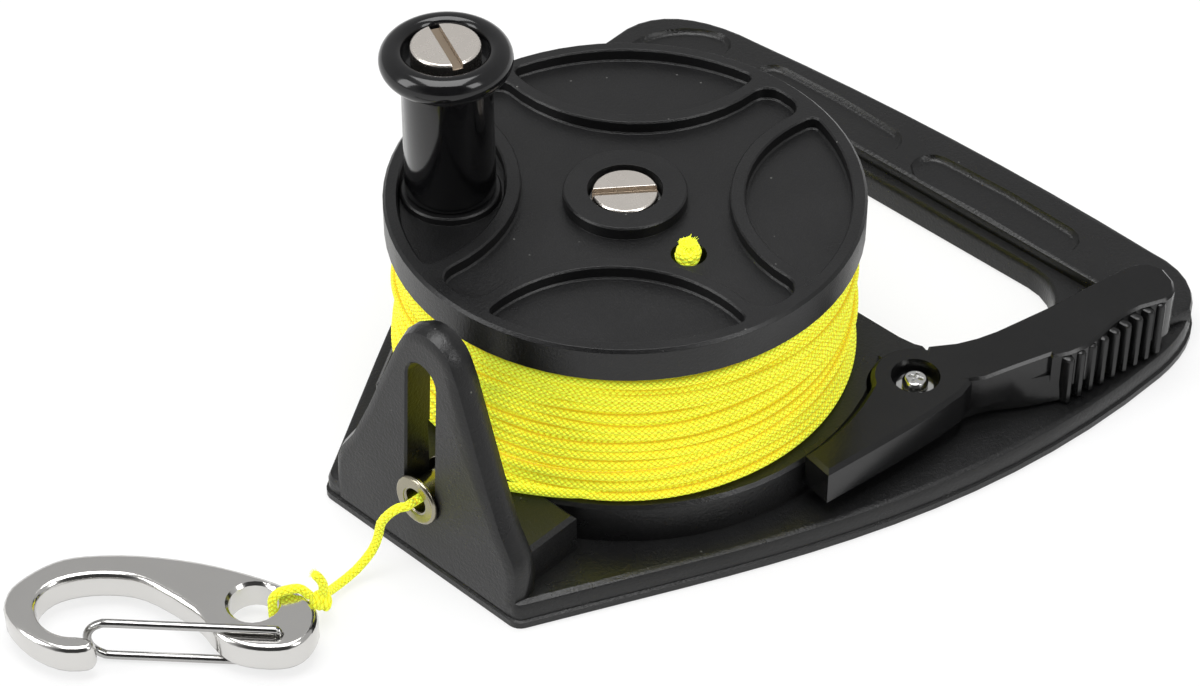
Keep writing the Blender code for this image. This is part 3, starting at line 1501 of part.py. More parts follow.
def build_line_knot(surface):
    builder = bmesh.new()
    bmesh.ops.create_icosphere(builder, subdivisions=2, radius=KNOT_RADIUS)
    made = add_object("line_knot", builder, surface, KNOT_CENTER)
    tail = revolve(plug_profile(LINE_RADIUS, 0.0, KNOT_TAIL), 8)
    tail_object = add_object("tool_knot_tail", tail, None, KNOT_CENTER)
    tail_object.rotation_euler = KNOT_TAIL_TILT
    join_in(made, tail_object)
    return smooth(made)


def build_line_loop(surface):
    # The loop is tied round the rim of the snap eye, from the knot and back.
    soft = HOOK_ROUND
    low = HOOK_MIDDLE - HOOK_THICK / 2 + soft
    high = HOOK_MIDDLE + HOOK_THICK / 2 - soft
    knot = Vector(KNOT_CENTER)
    eye = Vector((*HOOK_EYE_CENTER, 0.0))
    across = Vector((eye.x - knot.x, eye.y - knot.y, 0.0))
    rim_inner = across.length - HOOK_EYE_RADIUS - soft
    rim_outer = across.length - HOOK_EYE_RADIUS - EYE_RIM_WIDTH + soft
    across.normalize()
    reach = soft + LINE_RADIUS + LOOP_CLEAR
    quarter = math.pi / 2
    section = arc_outline((rim_outer, high), reach, LOOP_ENTRY, quarter, 3)
    section += arc_outline((rim_inner, high), reach, quarter, 0.0, 4)
    section += arc_outline((rim_inner, low), reach, 0.0, -quarter, 4)
    section += arc_outline((rim_outer, low), reach, -quarter, -LOOP_ENTRY, 3)
    start = LOOP_START_SHARE * (KNOT_RADIUS + GAP * 2)
    section = [(start, knot.z + start)] + section + [(start, knot.z - start)]
    path = [Vector((knot.x + across.x * d, knot.y + across.y * d, h)) for d, h in section]
    return tube("line_loop", path, LINE_RADIUS, 1, surface)


def build_all():
    for old in list(bpy.data.objects):
        bpy.data.objects.remove(old, do_unlink=True)
    frame_black = material("frame_black_plastic", (0.022, 0.022, 0.024), 0.0, 0.42)
    disc_black = material("spool_black_plastic", (0.018, 0.018, 0.020), 0.0, 0.38)
    grip_black = material("grip_gloss_plastic", (0.010, 0.010, 0.011), 0.0, 0.15)
    lever_black = material("lever_gloss_plastic", (0.014, 0.014, 0.015), 0.0, 0.25)
    nylon = material("bearing_nylon", (0.55, 0.54, 0.50), 0.0, 0.45)
    nickel = material("screw_nickel", (0.68, 0.62, 0.56), 1.0, 0.25)
    eyelet_metal = material("eyelet_nickel", (0.64, 0.58, 0.46), 1.0, 0.28)
    brass = material("insert_brass", (0.72, 0.53, 0.24), 1.0, 0.30)
    steel = material("steel_polished", (0.60, 0.60, 0.60), 1.0, 0.18)
    spring_steel = material("spring_steel", (0.45, 0.45, 0.46), 1.0, 0.30)
    yellow = material("line_yellow", (0.85, 0.82, 0.03), 0.0, 0.70)
    core_yellow = material("line_core_yellow", (0.70, 0.66, 0.03), 0.0, 0.75)

    build_frame(frame_black)
    build_eyelet_front(eyelet_metal)
    build_eyelet_collar(eyelet_metal)
    build_spool_disc(disc_black)
    build_spool_drum(disc_black)
    build_hub_bushing(nylon)
    build_thrust_washer(nylon)
    insert_top = POST_TOP - GAP
    insert_low = POST_TOP - INSERT_DEPTH + GAP
    build_insert(
        "spindle_insert", INSERT_RADIUS, INSERT_BORE_RADIUS, insert_low, insert_top, (0.0, 0.0), brass
    )
    build_center_washer(steel)
    build_center_screw(nickel)
    build_line_core(core_yellow)
    build_line_winding(yellow)
    build_line_end_knot(yellow)

    crank_top = DISC_TOP - CRANK_PAD_DROP
    crank_low = crank_top - CRANK_INSERT_DEPTH + GAP
    build_insert(
        "crank_insert", INSERT_RADIUS, INSERT_BORE_RADIUS, crank_low, crank_top, CRANK_AXIS, brass
    )
    build_crank_sleeve(steel)
    build_crank_grip(grip_black)
    build_crank_screw(nickel)

    build_lever(lever_black)
    lever_insert_low = LEVER_BOSS_TOP - LEVER_INSERT_DEPTH
    build_insert(
        "lever_insert", LEVER_INSERT_RADIUS, LEVER_INSERT_BORE, lever_insert_low, LEVER_BOSS_TOP - GAP,
        LEVER_PIVOT, brass,
    )
    build_lever_bush(nylon)
    build_lever_washer(steel)
    build_lever_screw(steel)
    build_lever_spring(spring_steel)

    build_snap_body(steel)
    build_snap_gate(spring_steel)
    build_guide_stretch(yellow)
    build_inner_stretch(yellow)
    build_free_line(yellow)
    build_line_knot(yellow)
    build_line_loop(yellow)


build_all()
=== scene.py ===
import bpy
import math
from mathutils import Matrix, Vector, noise


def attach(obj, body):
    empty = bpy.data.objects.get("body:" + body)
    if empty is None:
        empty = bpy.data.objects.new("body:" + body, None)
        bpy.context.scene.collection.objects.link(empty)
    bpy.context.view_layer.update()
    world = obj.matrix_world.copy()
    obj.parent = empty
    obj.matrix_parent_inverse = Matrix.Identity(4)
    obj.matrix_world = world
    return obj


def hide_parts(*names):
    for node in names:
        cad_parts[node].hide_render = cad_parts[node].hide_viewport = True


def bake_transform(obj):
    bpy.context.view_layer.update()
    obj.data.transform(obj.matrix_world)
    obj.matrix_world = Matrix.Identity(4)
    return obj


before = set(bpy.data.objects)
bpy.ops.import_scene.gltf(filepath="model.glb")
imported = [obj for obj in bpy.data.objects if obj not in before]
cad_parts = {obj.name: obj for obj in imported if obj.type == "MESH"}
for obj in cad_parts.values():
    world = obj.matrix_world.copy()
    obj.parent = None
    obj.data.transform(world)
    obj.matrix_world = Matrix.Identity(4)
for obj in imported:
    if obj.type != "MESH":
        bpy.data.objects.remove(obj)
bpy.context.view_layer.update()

# The viewpoint: a long lens looks down on the reel from its guide side.
view_camera_data = bpy.data.cameras.new("view_camera")
view_camera_data.lens = 104.87
view_camera_data.sensor_width = 36.0
view_camera_data.clip_start = 0.01
view_camera = bpy.data.objects.new("view_camera", view_camera_data)
view_camera.location = (-0.4547, -0.4235, 0.5759)
view_camera.rotation_euler = (math.radians(47.8), 0.0, math.radians(-46.5))
bpy.context.scene.collection.objects.link(view_camera)
bpy.context.scene.camera = view_camera
bpy.context.scene.view_settings.view_transform = "Standard"

# The free line: a fluorescent yellow braid of 2.2 mm that leaves the eyelet,
# hangs down in a limp curve and lies on the floor up to its knot. Fine
# polyester strands cross over one another along it.
LINE_RADIUS = 0.0011
LINE_SIDES = 16
FREE_LINE_ROUTE = (
    (-0.07778, -0.00780, 0.02011),
    (-0.07998, -0.00780, 0.02023),
    (-0.08056, -0.00723, 0.02016),
    (-0.08120, -0.00660, 0.01990),
    (-0.08207, -0.00584, 0.01915),
    (-0.08290, -0.00500, 0.01800),
    (-0.08343, -0.00404, 0.01638),
    (-0.08380, -0.00320, 0.01450),
    (-0.08400, -0.00282, 0.01252),
    (-0.08430, -0.00260, 0.01050),
    (-0.08490, -0.00236, 0.00851),
    (-0.08600, -0.00210, 0.00660),
    (-0.08800, -0.00172, 0.00469),
    (-0.09050, -0.00140, 0.00320),
    (-0.09339, -0.00129, 0.00260),
    (-0.09620, -0.00140, 0.00260),
    (-0.09841, -0.00188, 0.00324),
    (-0.10000, -0.00240, 0.00400),
    (-0.10070, -0.00274, 0.00436),
    (-0.10250, -0.00362, 0.00527),
)


def rounded_route(route, steps):
    # A smooth curve through the points of a route.
    points = [Vector(p) for p in route]
    padded = [points[0] * 2 - points[1]] + points + [points[-1] * 2 - points[-2]]
    result = []
    for index in range(len(points) - 1):
        p0, p1, p2, p3 = padded[index:index + 4]
        for step in range(steps):
            t = step / steps
            curve = p1 * 2 + (p2 - p0) * t
            curve += (p0 * 2 - p1 * 5 + p2 * 4 - p3) * t * t
            curve += (p1 * 3 - p0 - p2 * 3 + p3) * t ** 3
            result.append(curve * 0.5)
    result.append(points[-1])
    return result


def swept_tube(name, path, radius, sides, paint, ends=(1.0, 1.0), outward=False):
    # The UV map runs once round the tube, and along it by its own girth. On a
    # wound line it starts on the side that faces away from the spool's axis.
    points = [Vector(p) for p in path]
    count = len(points)
    verts = []
    runs = [0.0]
    normal = (points[1] - points[0]).normalized().orthogonal().normalized()
    for index, point in enumerate(points):
        along = (points[min(index + 1, count - 1)] - points[max(index - 1, 0)]).normalized()
        if outward:
            normal = Vector((point.x, point.y, 0.0))
        normal = (normal - along * normal.dot(along)).normalized()
        side = along.cross(normal)
        girth = radius
        if index == 0:
            girth *= ends[0]
        if index == count - 1:
            girth *= ends[1]
        for corner in range(sides):
            turn = 2 * math.pi * corner / sides
            verts.append(point + (normal * math.cos(turn) + side * math.sin(turn)) * girth)
        if index:
            runs.append(runs[-1] + (point - points[index - 1]).length / (2 * math.pi * radius))
    faces = []
    marks = []
    for index in range(count - 1):
        for corner in range(sides):
            after = (corner + 1) % sides
            faces.append((
                index * sides + corner, index * sides + after,
                (index + 1) * sides + after, (index + 1) * sides + corner,
            ))
            low, high = corner / sides, (corner + 1) / sides
            marks += [low, runs[index], high, runs[index]]
            marks += [high, runs[index + 1], low, runs[index + 1]]
    for first, turned in ((0, True), ((count - 1) * sides, False)):
        cap = list(range(first, first + sides))
        faces.append(tuple(reversed(cap)) if turned else tuple(cap))
        marks += [0.5, runs[0 if turned else -1]] * sides
    mesh = bpy.data.meshes.new(name)
    mesh.from_pydata(verts, [], faces)
    mesh.uv_layers.new(name="along_line").data.foreach_set("uv", marks)
    mesh.polygons.foreach_set("use_smooth", [True] * (len(faces) - 2) + [False, False])
    mesh.materials.append(paint)
    piece = bpy.data.objects.new(name, mesh)
    bpy.context.scene.collection.objects.link(piece)
    return piece


FLANK_SHARPNESS = 1.1
VALLEY_SHARPNESS = 2.4
# Painted glow: emission colours for the lit tops and for the painted shade between strands and rows.
GLOW_LIT = (0.68, 1.0, 0.08)
GLOW_SHADED = (0.34, 0.26, 0.0)
ROUGHNESS_SCALE = 7.0
braid = bpy.data.node_groups.new("crossed_strands", "ShaderNodeTree")
for socket_name in ("Strands", "Picks", "Unevenness"):
    braid.interface.new_socket(socket_name, in_out="INPUT", socket_type="NodeSocketFloat")
braid.interface.new_socket("Height", in_out="OUTPUT", socket_type="NodeSocketFloat")
braid.interface.new_socket("Valley", in_out="OUTPUT", socket_type="NodeSocketFloat")
braid.interface.new_socket("Flank", in_out="OUTPUT", socket_type="NodeSocketFloat")
braid_in = braid.nodes.new("NodeGroupInput")
braid_out = braid.nodes.new("NodeGroupOutput")
braid_map = braid.nodes.new("ShaderNodeUVMap")
braid_map.uv_map = "along_line"
braid_axes = braid.nodes.new("ShaderNodeSeparateXYZ")
braid.links.new(braid_map.outputs["UV"], braid_axes.inputs["Vector"])


def braid_math(operation, first, second=None):
    # One step of arithmetic, with numbers or with what other steps give.
    step = braid.nodes.new("ShaderNodeMath")
    step.operation = operation
    for slot, value in zip(step.inputs, (first, second)):
        if isinstance(value, float):
            slot.default_value = value
        elif value is not None:
            braid.links.new(value, slot)
    return step.outputs[0]


strand_place = braid_math("MULTIPLY", braid_axes.outputs["X"], braid_in.outputs["Strands"])
pick_place = braid_math("MULTIPLY", braid_axes.outputs["Y"], braid_in.outputs["Picks"])
left_turn = braid_math("MULTIPLY", braid_math("ADD", strand_place, pick_place), math.pi)
left_wave = braid_math("SINE", left_turn)
right_turn = braid_math("MULTIPLY", braid_math("SUBTRACT", strand_place, pick_place), math.pi)
right_wave = braid_math("SINE", right_turn)
crossing = braid_math("ABSOLUTE", braid_math("MULTIPLY", left_wave, right_wave))
braid_rough = braid.nodes.new("ShaderNodeTexNoise")
braid_rough.inputs["Scale"].default_value = ROUGHNESS_SCALE
braid_rough.inputs["Detail"].default_value = 4.0
braid.links.new(braid_map.outputs["UV"], braid_rough.inputs["Vector"])
uneven = braid_math("MULTIPLY", braid_rough.outputs["Fac"], braid_in.outputs["Unevenness"])
braid.links.new(braid_math("ADD", crossing, uneven), braid_out.inputs["Height"])
# Valley marks the gaps between crossing strands, which the paint fills with painted shade.
braid.links.new(braid_math("SUBTRACT", 1.0, crossing), braid_out.inputs["Valley"])
# Flank marks the sides of a wound row that face its neighbours, which get painted shade.
round_wave = braid_math("COSINE", braid_math("MULTIPLY", braid_axes.outputs["X"], 2 * math.pi))
outward_share = braid_math("SUBTRACT", 1.0, braid_math("ABSOLUTE", round_wave))
flank = braid_math("POWER", outward_share, FLANK_SHARPNESS)
braid.links.new(flank, braid_out.inputs["Flank"])


def braided_paint(name, lit, shaded, glow, flank_depth):
    # Painted glow: a steady emission stands in for light the fluorescent dye gives back.
    # Painted shade: colour and glow darken between the strands and, on the spool, between the rows.
    paint = bpy.data.materials.new(name)
    paint.use_nodes = True
    nodes = paint.node_tree.nodes
    links = paint.node_tree.links
    shader = nodes["Principled BSDF"]
    shader.inputs["Roughness"].default_value = 0.7
    shader.inputs["Specular IOR Level"].default_value = 0.25
    shader.inputs["Sheen Weight"].default_value = 0.15
    shader.inputs["Emission Strength"].default_value = glow
    weave = nodes.new("ShaderNodeGroup")
    weave.node_tree = braid
    weave.inputs["Strands"].default_value = 6.0
    weave.inputs["Picks"].default_value = 5.0
    weave.inputs["Unevenness"].default_value = 0.9
    deep = nodes.new("ShaderNodeMath")
    deep.operation = "POWER"
    deep.inputs[1].default_value = VALLEY_SHARPNESS
    between = nodes.new("ShaderNodeMath")
    between.operation = "MULTIPLY"
    between.inputs[1].default_value = flank_depth
    shade = nodes.new("ShaderNodeMath")
    shade.operation = "MAXIMUM"
    links.new(weave.outputs["Valley"], deep.inputs[0])
    links.new(weave.outputs["Flank"], between.inputs[0])
    links.new(deep.outputs[0], shade.inputs[0])
    links.new(between.outputs[0], shade.inputs[1])
    # Base colour and glow both turn to their shaded colours there: painted shade.
    for socket_name, bright, dull in (
        ("Base Color", lit, shaded), ("Emission Color", GLOW_LIT, GLOW_SHADED),
    ):
        tone = nodes.new("ShaderNodeMix")
        tone.data_type = "RGBA"
        tone.inputs["A"].default_value = (*bright, 1.0)
        tone.inputs["B"].default_value = (*dull, 1.0)
        links.new(shade.outputs[0], tone.inputs["Factor"])
        links.new(tone.outputs["Result"], shader.inputs[socket_name])
    relief = nodes.new("ShaderNodeBump")
    relief.inputs["Strength"].default_value = 1.0
    relief.inputs["Distance"].default_value = 0.00035
    links.new(weave.outputs["Height"], relief.inputs["Height"])
    links.new(relief.outputs["Normal"], shader.inputs["Normal"])
    return paint


# The free line, knots and tails: lit tops, painted shade between strands and a painted glow.
line_paint = braided_paint(
    "line_fluorescent_braid_painted_glow_and_shade",
    lit=(0.96, 0.96, 0.014), shaded=(0.78, 0.58, 0.003), glow=0.58, flank_depth=0.0,
)
free_line = swept_tube("free_line_braid", FREE_LINE_ROUTE, LINE_RADIUS, LINE_SIDES, line_paint)
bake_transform(free_line)
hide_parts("free_line")

# The loop: the same braid passes through the eye of the snap hook and back
# to the knot, drawn snug round the eye's rim.
LOOP_ROUTE = (
    (-0.10662, -0.00358, 0.00862),
    (-0.10753, -0.00305, 0.01021),
    (-0.10811, -0.00272, 0.01105),
    (-0.10890, -0.00226, 0.01161),
    (-0.10982, -0.00172, 0.01180),
    (-0.11138, -0.00082, 0.01180),
    (-0.11237, -0.00024, 0.01157),
    (-0.11321, 0.00025, 0.01092),
    (-0.11377, 0.00057, 0.00995),
    (-0.11397, 0.00069, 0.00880),
    (-0.11397, 0.00069, 0.00650),
    (-0.11397, 0.00069, 0.00420),
    (-0.11377, 0.00057, 0.00305),
    (-0.11321, 0.00025, 0.00208),
    (-0.11237, -0.00024, 0.00143),
    (-0.11138, -0.00082, 0.00120),
    (-0.10982, -0.00172, 0.00120),
    (-0.10890, -0.00226, 0.00139),
    (-0.10811, -0.00272, 0.00195),
    (-0.10753, -0.00305, 0.00279),
    (-0.10662, -0.00358, 0.00418),
)
loop_path = rounded_route(LOOP_ROUTE, steps=2)
eye_loop = swept_tube("eye_loop_braid", loop_path, LINE_RADIUS, LINE_SIDES, line_paint)
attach(eye_loop, "base")
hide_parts("line_loop")

# The knot: the end is wrapped over twice round the standing line and pulled
# tight. Its cut tail stands up and has frayed into loose filaments.
KNOT_CENTER = Vector((-0.1047, -0.0047, 0.0064))
KNOT_AXIS = Vector((-0.72, 0.42, 0.55)).normalized()
KNOT_TURNS = 2.4
KNOT_REACH = 0.00125
KNOT_UNEVENNESS = 0.00008
KNOT_LENGTH = 0.0031
KNOT_STEPS = 60
KNOT_SIDES = 14
KNOT_ENDS = (0.7, 0.7)
knot_across = KNOT_AXIS.orthogonal().normalized()
knot_up = KNOT_AXIS.cross(knot_across)
knot_path = []
for step in range(KNOT_STEPS + 1):
    turn = 2 * math.pi * KNOT_TURNS * step / KNOT_STEPS
    reach = KNOT_REACH + KNOT_UNEVENNESS * math.sin(turn * 1.7)
    along = (step / KNOT_STEPS - 0.5) * KNOT_LENGTH
    spoke = knot_across * math.cos(turn) + knot_up * math.sin(turn)
    knot_path.append(KNOT_CENTER + KNOT_AXIS * along + spoke * reach)
knot = swept_tube("line_knot_wraps", knot_path, LINE_RADIUS, KNOT_SIDES, line_paint, KNOT_ENDS)
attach(knot, "base")
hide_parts("line_knot")


GOLDEN_ANGLE = 2.39996
FILAMENT_RADIUS = 0.00013
FILAMENT_ROOT = 0.0004
FILAMENT_SIDES = 3
FILAMENT_STEPS = 4
FILAMENT_LENGTH_SHARE = 0.65
FILAMENT_UNEVEN_SHARE = 0.35
FILAMENT_START_SHARE = 0.6
FILAMENT_DROOP_SHARE = 0.35
FILAMENT_LEAN_SHARE = 0.75
FILAMENT_TAPER_SHARE = 0.6
STUB_ENDS = (0.9, 0.75)


def frayed_end(name, stub_path, spread, body, count):
    # Loose filaments fan out from a short braided stub, each one a thin tube
    # that bends outwards and tapers.
    stub = swept_tube(name + "_stub", stub_path, LINE_RADIUS, KNOT_SIDES, line_paint, STUB_ENDS)
    verts = []
    faces = []
    tip = stub_path[-1]
    up = (tip - stub_path[-2]).normalized()
    first = up.orthogonal().normalized()
    second = up.cross(first)
    for index in range(count):
        turn = index * GOLDEN_ANGLE
        out = math.sqrt((index + 0.5) / count)
        lean = (first * math.cos(turn) + second * math.sin(turn)) * out
        uneven_length = noise.noise(Vector((index * 1.7, 0.3, 0.0)))
        length = spread * (FILAMENT_LENGTH_SHARE + FILAMENT_UNEVEN_SHARE * uneven_length)
        start = tip + lean * LINE_RADIUS * FILAMENT_START_SHARE - up * FILAMENT_ROOT
        root = len(verts)
        for step in range(FILAMENT_STEPS + 1):
            share = step / FILAMENT_STEPS
            bend = share * share
            rise = up * length * share * (1 - FILAMENT_DROOP_SHARE * out * share)
            centre = start + rise + lean * length * FILAMENT_LEAN_SHARE * bend
            thin = FILAMENT_RADIUS * (1 - FILAMENT_TAPER_SHARE * share)
            for corner in range(FILAMENT_SIDES):
                spin = 2 * math.pi * corner / FILAMENT_SIDES
                verts.append(centre + (first * math.cos(spin) + second * math.sin(spin)) * thin)
        faces.append(tuple(reversed(range(root, root + FILAMENT_SIDES))))
        for step in range(FILAMENT_STEPS):
            low = root + step * FILAMENT_SIDES
            high = low + FILAMENT_SIDES
            for corner in range(FILAMENT_SIDES):
                after = (corner + 1) % FILAMENT_SIDES
                faces.append((low + corner, low + after, high + after, high + corner))
        faces.append(tuple(range(high, high + FILAMENT_SIDES)))
    mesh = bpy.data.meshes.new(name)
    mesh.from_pydata(verts, [], faces)
    mesh.uv_layers.new(name="along_line").data.foreach_set("uv", [0.5, 0.5] * len(mesh.loops))
    mesh.materials.append(line_paint)
    tuft = bpy.data.objects.new(name, mesh)
    bpy.context.scene.collection.objects.link(tuft)
    for piece in (stub, tuft):
        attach(piece, body)
    return stub, tuft


TAIL_ROUTE = (
    (0.0, 0.0, 0.0004), (0.0006, -0.0006, 0.0027), (0.0007, -0.0007, 0.0050),
    (0.0002, -0.0002, 0.0070), (-0.0006, 0.0006, 0.0086),
)
tail_path = rounded_route([KNOT_CENTER + Vector(p) for p in TAIL_ROUTE], steps=3)
knot_tail = frayed_end("knot_tail", tail_path, spread=0.0019, body="base", count=30)

# The snap hook: a flat hook of polished stainless steel, cast in one piece
# with rounded edges and a drilled eye, and held by the line loop.
WELD_REACH = 0.00001
FLAT_ANGLE = math.radians(0.6)
SMOOTH_ANGLE = math.radians(40)


def softened_copy(node_name, body, edge, paint, segments=3, corner=34.0):
    # The solid again, with its sharp edges rounded as a mould or a tumbler
    # leaves them.
    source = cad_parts[node_name]
    piece = bpy.data.objects.new(node_name + "_shell", source.data.copy())
    bpy.context.scene.collection.objects.link(piece)
    bpy.ops.object.select_all(action="DESELECT")
    piece.select_set(True)
    bpy.context.view_layer.objects.active = piece
    bpy.ops.object.mode_set(mode="EDIT")
    bpy.ops.mesh.select_all(action="SELECT")
    bpy.ops.mesh.remove_doubles(threshold=WELD_REACH)
    bpy.ops.mesh.dissolve_limited(angle_limit=FLAT_ANGLE)
    bpy.ops.object.mode_set(mode="OBJECT")
    if edge > 0.0:
        rounding = piece.modifiers.new("Rounded edges", "BEVEL")
        rounding.width = edge
        rounding.segments = segments
        rounding.limit_method = "ANGLE"
        rounding.angle_limit = math.radians(corner)
        rounding.use_clamp_overlap = True
        bpy.ops.object.modifier_apply(modifier=rounding.name)
    bpy.ops.object.shade_smooth_by_angle(angle=SMOOTH_ANGLE)
    evening = piece.modifiers.new("Flat faces stay flat", "WEIGHTED_NORMAL")
    evening.keep_sharp = True
    bpy.ops.object.modifier_apply(modifier=evening.name)
    piece.data.materials.clear()
    piece.data.materials.append(paint)
    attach(piece, body)
    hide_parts(node_name)
    return piece


rubbed = bpy.data.node_groups.new("fine_rubbing", "ShaderNodeTree")
for socket_name in ("Scale", "Stretch", "Smoothest", "Roughest", "Depth"):
    rubbed.interface.new_socket(socket_name, in_out="INPUT", socket_type="NodeSocketFloat")
rubbed.interface.new_socket("Roughness", in_out="OUTPUT", socket_type="NodeSocketFloat")
rubbed.interface.new_socket("Tone", in_out="OUTPUT", socket_type="NodeSocketFloat")
rubbed.interface.new_socket("Normal", in_out="OUTPUT", socket_type="NodeSocketVector")
rubbed_in = rubbed.nodes.new("NodeGroupInput")
rubbed_out = rubbed.nodes.new("NodeGroupOutput")
rubbed_place = rubbed.nodes.new("ShaderNodeTexCoord")
rubbed_stretch = rubbed.nodes.new("ShaderNodeVectorMath")
rubbed_stretch.operation = "MULTIPLY"
rubbed_axes = rubbed.nodes.new("ShaderNodeCombineXYZ")
rubbed_axes.inputs["X"].default_value = 1.0
rubbed_axes.inputs["Y"].default_value = 1.0
rubbed_marks = rubbed.nodes.new("ShaderNodeTexNoise")
rubbed_marks.inputs["Detail"].default_value = 5.0
rubbed_cloud = rubbed.nodes.new("ShaderNodeTexNoise")
rubbed_cloud.inputs["Scale"].default_value = 90.0
rubbed_cloud.inputs["Detail"].default_value = 3.0
rubbed_range = rubbed.nodes.new("ShaderNodeMapRange")
rubbed_bump = rubbed.nodes.new("ShaderNodeBump")
rubbed_bump.inputs["Distance"].default_value = 0.00008
rubbed.links.new(rubbed_in.outputs["Stretch"], rubbed_axes.inputs["Z"])
rubbed.links.new(rubbed_place.outputs["Object"], rubbed_stretch.inputs[0])
rubbed.links.new(rubbed_axes.outputs["Vector"], rubbed_stretch.inputs[1])
rubbed.links.new(rubbed_stretch.outputs["Vector"], rubbed_marks.inputs["Vector"])
rubbed.links.new(rubbed_place.outputs["Object"], rubbed_cloud.inputs["Vector"])
rubbed.links.new(rubbed_in.outputs["Scale"], rubbed_marks.inputs["Scale"])
rubbed.links.new(rubbed_marks.outputs["Fac"], rubbed_range.inputs["Value"])
rubbed.links.new(rubbed_in.outputs["Smoothest"], rubbed_range.inputs["To Min"])
rubbed.links.new(rubbed_in.outputs["Roughest"], rubbed_range.inputs["To Max"])
rubbed.links.new(rubbed_marks.outputs["Fac"], rubbed_bump.inputs["Height"])
rubbed.links.new(rubbed_in.outputs["Depth"], rubbed_bump.inputs["Strength"])
rubbed.links.new(rubbed_range.outputs["Result"], rubbed_out.inputs["Roughness"])
rubbed.links.new(rubbed_cloud.outputs["Fac"], rubbed_out.inputs["Tone"])
rubbed.links.new(rubbed_bump.outputs["Normal"], rubbed_out.inputs["Normal"])


def rubbed_metal(name, dark, light, smoothest, roughest, scale, stretch=1.0, depth=0.15):
    paint = bpy.data.materials.new(name)
    paint.use_nodes = True
    nodes = paint.node_tree.nodes
    links = paint.node_tree.links
    shader = nodes["Principled BSDF"]
    shader.inputs["Metallic"].default_value = 1.0
    finish = nodes.new("ShaderNodeGroup")
    finish.node_tree = rubbed
    finish.inputs["Scale"].default_value = scale
    finish.inputs["Stretch"].default_value = stretch
    finish.inputs["Smoothest"].default_value = smoothest
    finish.inputs["Roughest"].default_value = roughest
    finish.inputs["Depth"].default_value = depth
    tone = nodes.new("ShaderNodeMix")
    tone.data_type = "RGBA"
    tone.inputs["A"].default_value = (*dark, 1.0)
    tone.inputs["B"].default_value = (*light, 1.0)
    links.new(finish.outputs["Tone"], tone.inputs["Factor"])
    links.new(tone.outputs["Result"], shader.inputs["Base Color"])
    links.new(finish.outputs["Roughness"], shader.inputs["Roughness"])
    links.new(finish.outputs["Normal"], shader.inputs["Normal"])
    return paint


hook_steel = rubbed_metal(
    "hook_polished_steel", dark=(0.63, 0.62, 0.60), light=(0.68, 0.67, 0.65),
    smoothest=0.13, roughest=0.17, scale=260.0, stretch=4.0, depth=0.02,
)
softened_copy("snap_body", "base", edge=0.0011, paint=hook_steel, segments=4, corner=50.0)

# The gate of the snap hook: spring wire of 2 mm bent into a hairpin, whose
# two ends snap into holes in the hook beside the eye.
GATE_HINGE = Vector((-0.1205, -0.0085, 0.0))
GATE_WIRE_RADIUS = 0.001
GATE_ROUTE = (
    (0.0, 0.0, 0.0096),
    (0.0, 0.0, 0.01085),
    (-0.00025, 0.0003, 0.01141),
    (-0.00084, 0.00099, 0.0116),
    (-0.00673, 0.00795, 0.0116),
    (-0.01262, 0.0149, 0.0116),
    (-0.01851, 0.02185, 0.0116),
    (-0.0244, 0.02881, 0.0116),
    (-0.02567, 0.0303, 0.01121),
    (-0.02673, 0.03156, 0.01011),
    (-0.02745, 0.0324, 0.00845),
    (-0.0277, 0.0327, 0.0065),
    (-0.02745, 0.0324, 0.00455),
    (-0.02673, 0.03156, 0.00289),
    (-0.02567, 0.0303, 0.00179),
    (-0.0244, 0.02881, 0.0014),
    (-0.01851, 0.02185, 0.0014),
    (-0.01262, 0.0149, 0.0014),
    (-0.00673, 0.00795, 0.0014),
    (-0.00084, 0.00099, 0.0014),
    (-0.00025, 0.0003, 0.00159),
    (0.0, 0.0, 0.00215),
    (0.0, 0.0, 0.0034),
)
gate_steel = rubbed_metal(
    "gate_drawn_wire", dark=(0.36, 0.36, 0.35), light=(0.46, 0.45, 0.44),
    smoothest=0.10, roughest=0.22, scale=500.0,
)
gate_path = rounded_route([GATE_HINGE + Vector(p) for p in GATE_ROUTE], steps=4)
snap_gate = swept_tube("snap_gate_wire", gate_path, GATE_WIRE_RADIUS, LINE_SIDES, gate_steel)
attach(snap_gate, "gate")
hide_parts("snap_gate")

# The frame: one injection moulding in black glass-filled nylon, with the
# guide tower, the raised deck under the spool and the D-handle with its
# finger pockets. Its skin carries the fine grain of a spark-eroded mould.
GRAIN_DARK_SHARE = 0.6
GRAIN_LIGHT_SHARE = 1.4
DUST_COLOR = (0.2, 0.2, 0.19)
grain = bpy.data.node_groups.new("moulded_grain", "ShaderNodeTree")
for socket_name in ("Scale", "Depth", "Smoothest", "Roughest"):
    grain.interface.new_socket(socket_name, in_out="INPUT", socket_type="NodeSocketFloat")
grain.interface.new_socket("Roughness", in_out="OUTPUT", socket_type="NodeSocketFloat")
grain.interface.new_socket("Tone", in_out="OUTPUT", socket_type="NodeSocketFloat")
grain.interface.new_socket("Dust", in_out="OUTPUT", socket_type="NodeSocketFloat")
grain.interface.new_socket("Normal", in_out="OUTPUT", socket_type="NodeSocketVector")
grain_in = grain.nodes.new("NodeGroupInput")
grain_out = grain.nodes.new("NodeGroupOutput")
grain_place = grain.nodes.new("ShaderNodeTexCoord")
grain_fine = grain.nodes.new("ShaderNodeTexNoise")
grain_fine.inputs["Detail"].default_value = 3.0
grain_fine.inputs["Roughness"].default_value = 0.65
grain_wide = grain.nodes.new("ShaderNodeTexNoise")
grain_wide.inputs["Scale"].default_value = 70.0
grain_wide.inputs["Detail"].default_value = 5.0
grain_specks = grain.nodes.new("ShaderNodeTexVoronoi")
grain_specks.inputs["Scale"].default_value = 150.0
